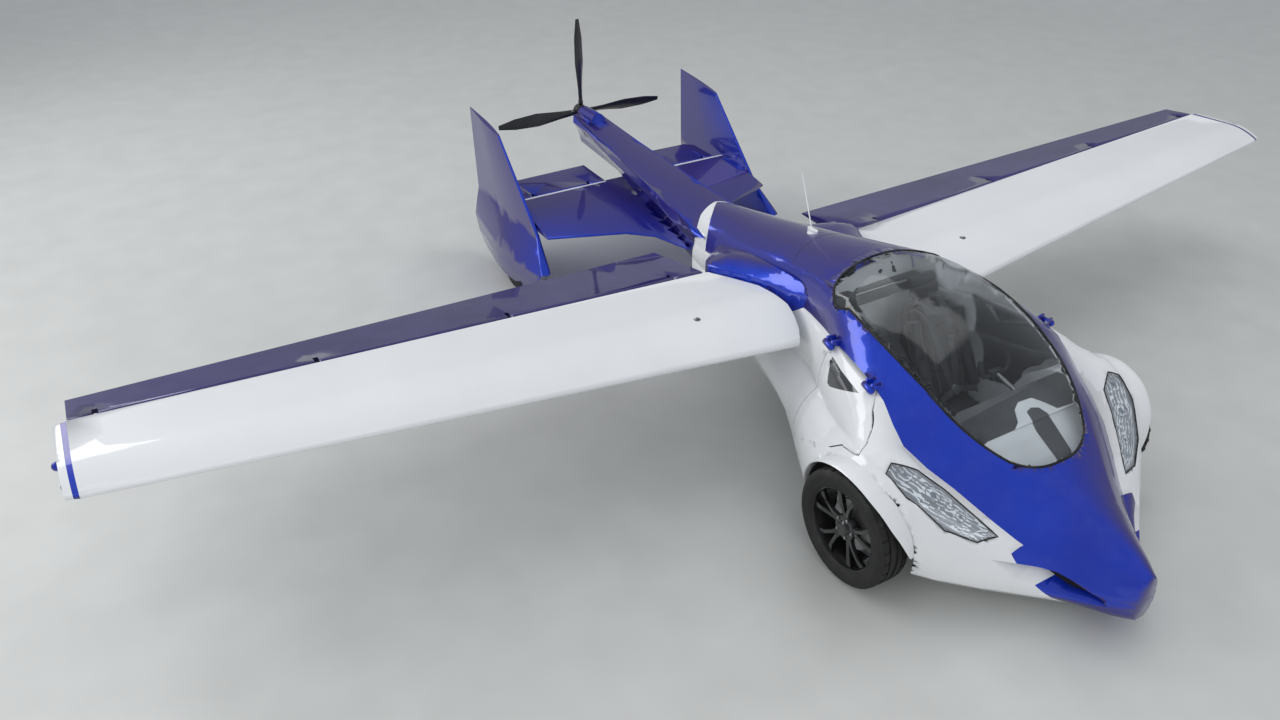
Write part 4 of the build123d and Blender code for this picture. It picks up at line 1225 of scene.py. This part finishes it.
@dataclass
class Wheel:
    """One wheel: a spun tyre with cut tread, and a rim with pairs of spokes."""

    skins: Skins
    name: str
    body: str
    centre: Vector
    out: int
    radius: float
    width: float
    rim: float
    stub: float
    blocks: int = 60

    def build(self) -> None:
        """Builds the tyre and the rim."""
        self.tyre()
        self.wheel_rim()

    def node(self, kind: str) -> str:
        """The name of the CAD node of a kind at this wheel."""
        end, side = self.name.split("_")
        return f"{end}_{kind}_{side}"

    def tyre(self) -> None:
        """Spins the tyre's profile and cuts its tread."""
        r, h, b = self.radius, self.width / 2, self.rim
        s = min(1.0, h / 0.093)
        m = (b + r) / 2
        side = [(h * 0.72, b + 0.001), (h * 0.80, b), (h * 0.86, b + 0.006 * s), (h * 0.90, b + 0.016 * s),
                (h * 0.965, m - 0.010 * s), (h * 0.975, m), (h * 0.99, m + 0.004 * s),
                (h * 0.985, m + 0.014 * s), (h * 0.93, r - 0.022 * s), (h * 0.88, r - 0.012 * s)]
        tread = ((0.80, 0.0045), (0.60, 0.0015), (0.46, 0.0010), (0.45, 0.008), (0.38, 0.008),
                 (0.37, 0.0008), (0.10, 0.0), (0.09, 0.008), (0.0, 0.008))
        half = side + [(h * a, r - d * s) for a, d in tread]
        profile = [(a * self.out, q) for a, q in half] + [(-a * self.out, q) for a, q in reversed(half[:-1])]
        obj = Bench.lathe(f"{self.name}_tyre", profile, self.centre, Vector((1, 0, 0)), self.blocks * 2)
        cut = self.radius - 0.006 * s

        def sipe(poly: bpy.types.MeshPolygon) -> bool:
            """Whether a face of the tread is sunk as a cut.

            Args:
                poly: The face.

            Returns:
                Whether it is sunk.
            """
            p = poly.center - self.centre
            around = int((math.atan2(p.z, p.y) / math.tau + 1.0) * self.blocks * 2 + 0.5)
            q = math.hypot(p.y, p.z)
            return q > cut and abs(p.x) > h * 0.47 and abs(p.x) < h * 0.92 and around % 4 == 0

        Bench.select_faces(obj, sipe)
        bpy.ops.mesh.extrude_region_shrink_fatten(TRANSFORM_OT_shrink_fatten={"value": -0.004 * s})
        Bench.done(obj, TYRE, self.body, 30)
        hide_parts(self.node("tyre"))

    def wheel_rim(self) -> None:
        """Spins the barrel, adds one pair of spokes, repeats it five times and sets the bolts."""
        h, r, o, c = self.width / 2 * 0.82, self.rim, self.out, self.centre
        s = r / 0.222
        across = Vector((1, 0, 0))
        barrel = [(-h, r - 0.001), (-h, r - 0.012 * s), (-h * 0.6, r - 0.016 * s), (h * 0.55, r - 0.016 * s),
                  (h * 0.84, r - 0.010 * s), (h * 0.97, r - 0.007 * s), (h, r - 0.004 * s),
                  (h * 0.98, r - 0.001)]
        parts = [Bench.lathe(f"{self.name}_barrel", [(a * o, q) for a, q in barrel], c, across, 64)]
        hub = [(h * 0.20, self.stub), (h * 0.20, 0.060 * s), (h * 0.52, 0.072 * s), (h * 0.70, 0.066 * s),
               (h * 0.74, 0.050 * s), (h * 0.72, 0.040 * s), (h * 0.80, 0.036 * s), (h * 0.88, 0.030 * s),
               (h * 0.90, 0.020 * s), (h * 0.90, 0.0005)]
        parts.append(Bench.lathe(f"{self.name}_hub", [(a * o, q) for a, q in hub], c, across, 48))
        parts.append(self.spokes(h, s))
        bolts = []
        for k in range(5):
            a = math.tau * (k + 0.5) / 5
            place = c + Vector((h * 0.66 * o, math.cos(a) * 0.056 * s, math.sin(a) * 0.056 * s))
            bolt = [(0, 0.009 * s), (0.010 * s, 0.009 * s), (0.012 * s, 0.007 * s), (0.012 * s, 0.0005)]
            bolts.append(Bench.lathe(f"{self.name}_bolt_{k}", bolt, place, Vector((o, 0, 0)), 6))
        obj = Bench.done(Bench.join(f"{self.name}_rim", parts), RIM, self.body, 35)
        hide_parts(self.node("rim"))
        Bench.done(Bench.join(f"{self.name}_bolts", bolts), STEEL, self.body, 30)

    def spokes(self, h: float, s: float) -> bpy.types.Object:
        """One pair of bent spokes, spun into five pairs.

        Args:
            h: Half the width of the rim.
            s: The rim's scale against the front one.

        Returns:
            The spokes, in edit mode.
        """
        o, c, r = self.out, self.centre, self.rim
        pair = []
        for lean in (-1, 1):
            rows = []
            for q, half, x in ((0.056 * s, 0.015, 0.66), (0.10 * s, 0.011, 0.80), (0.16 * s, 0.011, 0.90),
                               (r - 0.012 * s, 0.016, 0.86)):
                a = lean * (math.radians(5) + math.radians(11) * (q - 0.05 * s) / (r - 0.05 * s))
                rows.append((q, half * s, x * h, a))
            front = []
            for q, half, x, a in rows:
                up = Vector((0, math.sin(a), math.cos(a)))
                across = Vector((0, math.cos(a), -math.sin(a)))
                front.append((c + up * q + across * half + Vector((x * o, 0, 0)),
                              c + up * q - across * half + Vector((x * o, 0, 0))))
            outline = [f[0] for f in front] + [f[1] for f in reversed(front)]
            thick = Vector((-0.022 * s * o, 0, 0))
            pair.append(Bench.plate(f"{self.name}_spoke", outline, thick, 0.003 * s))
        obj = Bench.join(f"{self.name}_spokes", pair)
        Bench.edit()
        bpy.ops.mesh.spin(steps=5, angle=math.tau, dupli=True, center=c, axis=(1, 0, 0))
        bpy.ops.mesh.select_all(action="SELECT")
        bpy.ops.mesh.remove_doubles(threshold=MERGE)
        return obj


@dataclass
class Cabin:
    """Seats, belts, dash, console, yokes and linings."""

    skins: Skins
    seat_x: float = 0.290
    hip: tuple[float, float] = (1.530, 0.300)
    lean: float = 28.0
    floor: tuple = ((-0.50, 1.28), (0.50, 1.28), (0.54, 1.46), (0.40, 1.98), (-0.40, 1.98), (-0.54, 1.46))
    plugs_at: tuple[float, float] = (0.101, 0.195)
    levers_at: tuple[float, float] = (-0.022, 0.022)
    voxel: float = 0.0065
    channel: tuple[float, float] = (0.0065, 0.0085)
    tongue: tuple = ((-0.24, 0.84), (-0.05, 0.855), (0.03, 0.90), (0.085, 0.975), (0.15, 1.012),
                     (0.235, 1.005), (0.275, 0.94), (0.30, 0.885), (0.47, 0.872), (0.47, 0.83),
                     (0.30, 0.80), (-0.24, 0.80))
    gauge: tuple = ((0.130, 0.935), (0.172, 0.948), (0.212, 0.930), (0.222, 0.880), (0.160, 0.655),
                    (0.112, 0.600), (0.070, 0.598), (0.052, 0.640), (0.082, 0.820))

    def build(self) -> None:
        """Dresses the cabin."""
        self.linings()
        self.dash()
        self.console()
        for side, sign in SIDES:
            self.yoke(side, sign)
        self.seats()

    def linings(self) -> None:
        """Pale moulded linings over the inside of the body, the bulkhead and its dark shelf."""

        def inward(poly: bpy.types.MeshPolygon) -> bool:
            """Whether a face of the body looks into the cabin.

            Args:
                poly: The face.

            Returns:
                Whether it is lined.
            """
            y = poly.center.y + NOSE_TO_ORIGIN
            if not 0.60 < y < 2.06:
                return False
            way = Vector((poly.center.x, 0, poly.center.z - 0.62))
            return poly.normal.dot(way.normalized()) < -0.25 and abs(poly.normal.y) < 0.92

        for node in ("upper_body", "lower_body"):
            self.skins.facing(node, f"{node.split('_')[0]}_lining", inward, LINING)
        self.skins.dress("rear_bulkhead", LINING)
        shelf = Bench.block("parcel_shelf", station(0.050, 2.024, 0.909), (0.764, 0.078, 0.088), bevel=0.018)
        bpy.ops.mesh.subdivide(number_cuts=1)
        Bench.done(shelf, SUEDE, "car", 40)
        plugs = []
        for x in self.plugs_at:
            plugs.append(Bench.lathe("plug", [(0.0, 0.013), (0.004, 0.013), (0.007, 0.009), (0.007, 0.0005)],
                                     station(x, 2.0595, 1.012), Vector((0, -1, 0.1)), 20))
        Bench.done(Bench.join("bulkhead_plugs", plugs), MOULDED, "car")
        corners = [station(x, y, 0.172) for x, y in self.floor]
        mat = Bench.plate("cabin_mat", corners, Vector((0, 0, 0.006)), 0.002)
        Bench.done(mat, SUEDE, "car")

    def dash(self) -> None:
        """The pale dash top with its dark gauge pad, the charcoal cowl and two displays."""
        self.skins.dress("dash_top", LINING)
        self.skins.dress("instrument_panel", SUEDE)
        self.skins.patch("instrument_panel", "dash_tongue", self.tongue, LINING, 0.003, 0.4, 1.0)
        for node in ("dash_top", "instrument_panel"):
            self.skins.patch(node, f"gauge_pad_{node.split('_')[0]}", self.gauge, SUEDE, 0.0055, 0.4, 1.0)
        for side, sign in SIDES:
            low = station(sign * 0.165, 1.1075, 0.548)
            high = station(sign * 0.165, 1.1285, 0.652)
            wide = Vector((sign * 0.23, 0, 0))
            out = (high - low).cross(Vector((1, 0, 0))).normalized()
            out = out if out.y > 0 else -out
            corners = [low, low + wide, high + wide, high]
            frame = Bench.plate(f"display_frame_{side}", corners, out * 0.010, 0.003)
            Bench.done(frame, MOULDED, "car")
            margin, rise = Vector((sign * 0.010, 0, 0)), (high - low) * 0.08
            a = low + (margin + rise) + out * 0.0095
            b = high + margin - rise + out * 0.0095
            inner = wide - Vector((sign * 0.020, 0, 0))
            glass = Bench.plate(f"display_{side}", [a, a + inner, b + inner, b], out * 0.0015, 0.0005)
            Bench.done(glass, SCREEN, "car")
        knobs = []
        for k in range(6):
            place = station(-0.125 + 0.05 * k, 1.118, 0.600)
            knob = [(-0.004, 0.011), (0.012, 0.011), (0.016, 0.009), (0.016, 0.0005)]
            knobs.append(Bench.lathe(f"knob_{k}", knob, place, Vector((0, 1, -0.25)), 20))
        Bench.done(Bench.join("dash_knobs", knobs), MOULDED, "car")

    def console(self) -> None:
        """The console with its levers."""
        self.skins.dress("centre_console", LINING)
        levers = []
        for k, x in enumerate(self.levers_at):
            path = smooth_path([station(x, 1.16, 0.296), station(x, 1.17, 0.34), station(x, 1.20, 0.385)], 5)
            levers.append(Bench.tube(f"lever_{k}", path, 0.005))
            levers.append(Bench.lathe(f"lever_knob_{k}", [(-0.014, 0.0005), (-0.012, 0.010), (0.0, 0.0145),
                                                          (0.012, 0.012), (0.016, 0.0005)], path[-1],
                                      Vector((0, 0.5, 0.8)), 20))
            Bench.clear()
        Bench.done(Bench.join("console_levers", levers), MOULDED, "car", 50)
        slot = Bench.block("lever_gate", station(0.0, 1.17, 0.300), (0.078, 0.15, 0.010), bevel=0.004)
        Bench.done(slot, MOULDED, "car")

    def yoke(self, side: str, sign: int) -> None:
        """One control yoke: a column, a boss and a bent bar with two grips.

        Args:
            side: The side's name.
            sign: 1 on the left, -1 on the right.
        """
        x = sign * self.seat_x
        turn = Matrix.Translation(station(x, 1.290, 0.672)) @ Matrix.Rotation(math.radians(-20), 4, "X")
        half = ((0.100, 0, 0.092), (0.104, 0.002, 0.040), (0.086, 0.004, 0.004), (0.040, 0.004, -0.006))
        bar = smooth_path([Vector((-x, y, z)) for x, y, z in half] + [Vector(p) for p in reversed(half)], 6)
        parts = [Bench.tube(f"yoke_bar_{side}", bar, 0.011, sides=4)]
        for k in (-1, 1):
            grip = smooth_path([Vector((k * 0.1005, 0, 0.094)), Vector((k * 0.105, 0.002, 0.055)),
                                Vector((k * 0.099, 0.003, 0.022))], 5)
            parts.append(Bench.tube(f"yoke_grip_{side}_{k}", grip, 0.0155, sides=4))
            button = Bench.lathe(f"yoke_button_{side}_{k}", [(0, 0.006), (0.004, 0.006), (0.005, 0.0005)],
                                 Vector((k * 0.1005, 0.012, 0.080)), Vector((0, 1, 0.3)), 16)
            Bench.clear()
            parts.append(button)
        middle = Vector((0, 0.002, -0.002))
        boss = Bench.block(f"yoke_boss_{side}", middle, (0.086, 0.044, 0.062), bevel=0.010)
        Bench.select_faces(boss, lambda p: p.normal.y > 0.9)
        bpy.ops.mesh.inset(thickness=0.006, depth=-0.002)
        Bench.clear()
        parts.append(boss)
        whole = Bench.placed(Bench.join(f"yoke_{side}", parts), turn)
        Bench.done(whole, MOULDED, "car", 40)
        if sign > 0:
            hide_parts("yokes")
        ends = [station(x, 1.095, 0.632), station(x, 1.285, 0.672)]
        column = Bench.tube(f"yoke_column_{side}", ends, 0.014, sides=5)
        Bench.done(column, STEEL, "car", 40)

    def seats(self) -> None:
        """Both seats: hard shells, padded leather and belts."""
        y, z = self.hip
        tilt = Matrix.Rotation(math.radians(-self.lean), 4, "X")
        back = Matrix.Translation(station(self.seat_x, y, z)) @ tilt
        level = Matrix.Rotation(math.radians(-90), 4, "X")
        flat = Matrix.Translation(station(self.seat_x, 1.462, 0.292)) @ level

        def on_back(x: float, y: float, z: float) -> Matrix:
            """A place in the frame of the seat back."""
            return back @ Matrix.Translation((x, y, z))

        bolster = (0.062, 0.100, 0.480)
        pads = [self.pad(name, size, place, channels, firm) for name, size, place, channels, firm in (
            ("seat_cushion", (0.345, 0.085, 0.315), flat, ((0, 0.108), (0, -0.108), (2, 0.06)), 0.9),
            ("seat_back", (0.300, 0.070, 0.560), on_back(0, 0.010, 0.345),
             ((0, 0.085), (0, -0.085), (2, 0.165), (2, -0.10)), 0.85),
            ("seat_bolster_outer", bolster, on_back(0.172, -0.012, 0.330), (), 0.9),
            ("seat_bolster_inner", bolster, on_back(-0.172, -0.012, 0.330), (), 0.9),
            ("seat_headrest", (0.200, 0.058, 0.130), on_back(0, 0.026, 0.742), ((2, 0.0),), 0.9))]
        for pad in pads:
            Bench.hang(pad, LEATHER, "car", 70)
            other = self.second(pad)
            Bench.hang(other, LEATHER, "car", 70)
        hard, webs, metal = self.seat_shell(back), self.belts(back), self.buckle(back)
        for piece, finish in ((hard, MOULDED), (webs, WEBBING), (metal, STEEL)):
            Bench.done(piece, finish, "car", 40)
            Bench.done(self.second(piece), finish, "car", 40)
        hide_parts("seats")

    @staticmethod
    def second(piece: bpy.types.Object) -> bpy.types.Object:
        """The right seat's copy of a piece; both are named by their side.

        Args:
            piece: The left seat's piece.

        Returns:
            The copy.
        """
        other = Bench.flipped(piece, piece.name + "_right")
        piece.name = piece.data.name = piece.name + "_left"
        return other

    def pad(self, name: str, size: Triple, place: Matrix, channels: Sequence[tuple[int, float]],
            firm: float) -> bpy.types.Object:
        """One padded piece, blown up as cloth, with its sewn channels drawn in.

        Args:
            name: The pad's name.
            size: Its width, thickness and length; its sitting side looks to minus Y.
            place: Where it goes.
            channels: The axis and place of each sewn line.
            firm: How much of the cap on its swelling is used.

        Returns:
            The pad, in place and unpainted.
        """
        obj = Bench.block(name, Vector((0, 0, 0)), size, bevel=min(size) * 0.34, segments=4)
        bpy.ops.object.mode_set(mode="OBJECT")
        obj.data.remesh_voxel_size = self.voxel
        bpy.ops.object.voxel_remesh()
        self.inflate(obj, size, 0.022 * firm)
        bpy.ops.object.mode_set(mode="OBJECT")
        Bench.apply(obj, "SUBSURF", levels=1, render_levels=1)
        wide, deep = self.channel
        for vertex in obj.data.vertices:
            if vertex.co.y < 0:
                for axis, where in channels:
                    gap = (vertex.co[axis] - where) / wide
                    vertex.co.y += deep * math.exp(-gap * gap)
        return Bench.placed(obj, place)

    def inflate(self, obj: bpy.types.Object, size: Triple, cap: float) -> None:
        """Lets the pad swell as pressed cloth, with its back held, and caps how far it moves.

        Args:
            obj: The pad.
            size: Its sizes.
            cap: The most that a point may move.
        """
        rest = [v.co.copy() for v in obj.data.vertices]
        held = obj.vertex_groups.new(name="held")
        held.add([v.index for v in obj.data.vertices if v.co.y > size[1] * 0.36], 1.0, "ADD")
        cloth = obj.modifiers.new("Cloth", "CLOTH")
        cloth.settings.use_pressure = True
        cloth.settings.uniform_pressure_force = 4.0
        cloth.settings.effector_weights.gravity = 0.0
        cloth.settings.vertex_group_mass = "held"
        cloth.point_cache.frame_start, cloth.point_cache.frame_end = 1, 20
        for number in range(1, 21):
            bpy.context.scene.frame_set(number)
        Bench.pick(obj)
        bpy.ops.object.modifier_apply(modifier=cloth.name)
        bpy.context.scene.frame_set(1)
        for vertex, start in zip(obj.data.vertices, rest):
            step = vertex.co - start
            if step.length > cap:
                vertex.co = start + step * (cap / step.length)

    def seat_shell(self, back: Matrix) -> bpy.types.Object:
        """The hard shell behind the pads, its head post and the base.

        Args:
            back: The frame of the seat back.

        Returns:
            The shell.
        """
        outline = [Vector((x, 0.044, z)) for x, z in
                   ((-0.190, 0.02), (0.190, 0.02), (0.198, 0.12), (0.198, 0.50), (0.170, 0.61), (0.110, 0.64),
                    (-0.110, 0.64), (-0.170, 0.61), (-0.198, 0.50), (-0.198, 0.12))]
        shell = Bench.plate("seat_shell", outline, Vector((0, 0.034, 0)), 0.012)
        Bench.clear()
        Bench.placed(shell, back)
        post = Bench.block("seat_post", Vector((0, 0.045, 0.655)), (0.066, 0.026, 0.075), bevel=0.006)
        Bench.clear()
        Bench.placed(post, back)
        base = Bench.block("seat_base", station(self.seat_x, 1.465, 0.196), (0.28, 0.27, 0.100), bevel=0.012)
        bpy.ops.mesh.subdivide(number_cuts=1)
        return Bench.join("seat_shell", [shell, post, base])

    def belts(self, back: Matrix) -> bpy.types.Object:
        """Shoulder and lap webbing as flat straps.

        Args:
            back: The frame of the seat back.

        Returns:
            The belts, in object mode.
        """
        parts = []
        for k, side in enumerate((-1, 1)):
            for name, wide, points in (
                    ("strap", Vector((0.044, 0, 0)), ((0.075, 0.050, 0.648), (0.072, 0.006, 0.650),
                                                      (0.066, -0.034, 0.600), (0.058, -0.047, 0.42),
                                                      (0.030, -0.050, 0.22), (0.012, -0.052, 0.13))),
                    ("lap", Vector((0, 0, 0.040)), ((0.190, 0.030, 0.075), (0.165, -0.055, 0.070),
                                                    (0.10, -0.075, 0.095), (0.020, -0.056, 0.115)))):
                path = smooth_path([Vector((side * x, y, z)) for x, y, z in points], 6)
                strap = Bench.chain(f"{name}_{k}", [p - wide / 2 for p in path])
                bpy.ops.mesh.extrude_region_move(TRANSFORM_OT_translate={"value": wide})
                Bench.clear()
                Bench.apply(strap, "SOLIDIFY", thickness=0.0022, offset=0.0)
                parts.append(Bench.placed(strap, back))
        return Bench.join("seat_belts", parts)

    def buckle(self, back: Matrix) -> bpy.types.Object:
        """The round buckle and a bright slide on one strap.

        Args:
            back: The frame of the seat back.

        Returns:
            The buckle and the slide, in object mode.
        """
        disc = Bench.lathe("seat_buckle", [(0.0, 0.030), (0.010, 0.030), (0.014, 0.026), (0.014, 0.012),
                                           (0.018, 0.010), (0.018, 0.0005)], Vector((0, -0.052, 0.118)),
                           Vector((0, -1, 0)), 32)
        Bench.clear()
        slide = Bench.block("seat_slide", Vector((0.056, -0.053, 0.43)), (0.056, 0.006, 0.030), bevel=0.002)
        Bench.clear()
        whole = Bench.join("seat_buckle", [disc, slide])
        return Bench.placed(whole, back)


@dataclass
class Studio:
    """Camera, floor, world and lamps."""

    eye: Vector = field(default_factory=lambda: station(-3.634, -1.689, 3.633))
    azimuth: float = -29.66
    elevation: float = 32.09
    roll: float = -0.862
    lens: float = 27.92

    def build(self) -> None:
        """Sets up the studio."""
        self.camera()
        self.floor()
        self.world()
        self.lamps()
        bpy.context.scene.view_settings.view_transform = "Standard"

    def camera(self) -> None:
        """The camera at the photograph's place and angle."""
        az, el, roll = (math.radians(v) for v in (self.azimuth, self.elevation, self.roll))
        back = Vector((math.sin(az) * math.cos(el), -math.cos(az) * math.cos(el), math.sin(el)))
        right = (-back).cross(Vector((0, 0, 1))).normalized()
        up = right.cross(-back)
        r = right * math.cos(roll) + up * math.sin(roll)
        u = up * math.cos(roll) - right * math.sin(roll)
        data = bpy.data.cameras.new("photo_view")
        data.lens, data.sensor_width = self.lens, 36.0
        data.clip_start, data.clip_end = 0.05, 200.0
        camera = bpy.data.objects.new("photo_view", data)
        bpy.context.collection.objects.link(camera)
        turn = Matrix((r, u, back)).transposed()
        camera.matrix_world = Matrix.Translation(self.eye) @ turn.to_4x4()
        bpy.context.scene.camera = camera

    def floor(self) -> None:
        """A plain pale floor with a faint gloss."""
        Bench.clear()
        bpy.ops.mesh.primitive_plane_add(size=120.0, location=(0, 0, -0.0005))
        plane = bpy.context.object
        plane.name = "studio_floor"
        paint = Finish("Pale studio floor", "", (0.60, 0.61, 0.59), (0.57, 0.58, 0.56), 0.30, 0.0, 0.0,
                       Effect.PEEL, 3.0, 0.02, 0.001, 0.25, 0.0)
        plane.data.materials.append(paint.material())

    def world(self) -> None:
        """A soft pale surround, white to the camera."""
        world = bpy.data.worlds.new("surround")
        bpy.context.scene.world = world
        world.use_nodes = True
        t = Tree(world.node_tree)
        out = t.add("ShaderNodeOutputWorld")
        soft = t.add("ShaderNodeBackground", Color=(0.86, 0.88, 0.92, 1.0), Strength=0.74)
        seen = t.add("ShaderNodeBackground", Color=(0.80, 0.82, 0.83, 1.0), Strength=1.0)
        mirrored = t.add("ShaderNodeBackground", Color=(0.80, 0.84, 0.92, 1.0), Strength=0.36)
        path = t.add("ShaderNodeLightPath")
        mix = t.add("ShaderNodeMixShader")
        inner = t.add("ShaderNodeMixShader")
        t.join(path, "Is Glossy Ray", inner, 0)
        t.join(soft, 0, inner, 1)
        t.join(mirrored, 0, inner, 2)
        t.join(path, "Is Camera Ray", mix, 0)
        t.join(inner, 0, mix, 1)
        t.join(seen, 0, mix, 2)
        t.join(mix, 0, out, 0)

    def lamps(self) -> None:
        """Large soft lamps over and behind the object."""
        for name, place, target, size, power in (
                ("window_bank", station(-7.0, 9.0, 6.0), station(0, 2.6, 0.5), (8.0, 4.5), 330.0),
                ("roof_bank", station(2.5, 3.5, 7.5), station(0, 2.6, 0.5), (6.0, 4.0), 120.0),
                ("front_bank", station(-1.0, -6.0, 4.5), station(0, 2.0, 0.6), (6.0, 3.0), 90.0),
                ("side_bank", station(-8.0, 0.0, 3.5), station(0, 2.0, 0.6), (4.0, 6.0), 70.0)):
            data = bpy.data.lights.new(name, "AREA")
            data.shape, data.size, data.size_y, data.energy = "RECTANGLE", size[0], size[1], power
            lamp = bpy.data.objects.new(name, data)
            bpy.context.collection.objects.link(lamp)
            lamp.visible_glossy = name == "window_bank"
            turn = (target - place).to_track_quat("-Z", "Y").to_matrix().to_4x4()
            lamp.matrix_world = Matrix.Translation(place) @ turn


def main() -> None:
    """Loads the frame and builds each sub-assembly in order."""
    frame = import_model()
    skins = Skins(frame)
    crew = [Shell(skins), Doors(skins), Headlamps(skins), Wings(skins), Tail(skins), Cabin(skins)]
    for side, sign in SIDES:
        crew.append(Wheel(skins, f"front_{side}", f"front_wheel_{side}", on_side(sign, FRONT_HUB), sign,
                          0.313, 0.186, 0.222, 0.0325))
        crew.append(Wheel(skins, f"rear_{side}", f"rear_wheel_{side}", on_side(sign, REAR_HUB), sign,
                          0.180, 0.090, 0.104, 0.0145, 48))
    crew.append(Studio())
    for part in crew:
        part.build()
        LOG.info("%s built", getattr(part, "name", type(part).__name__))


if __name__ == "__main__":
    logging.basicConfig(level=logging.INFO, format="%(name)s: %(message)s")
    main()
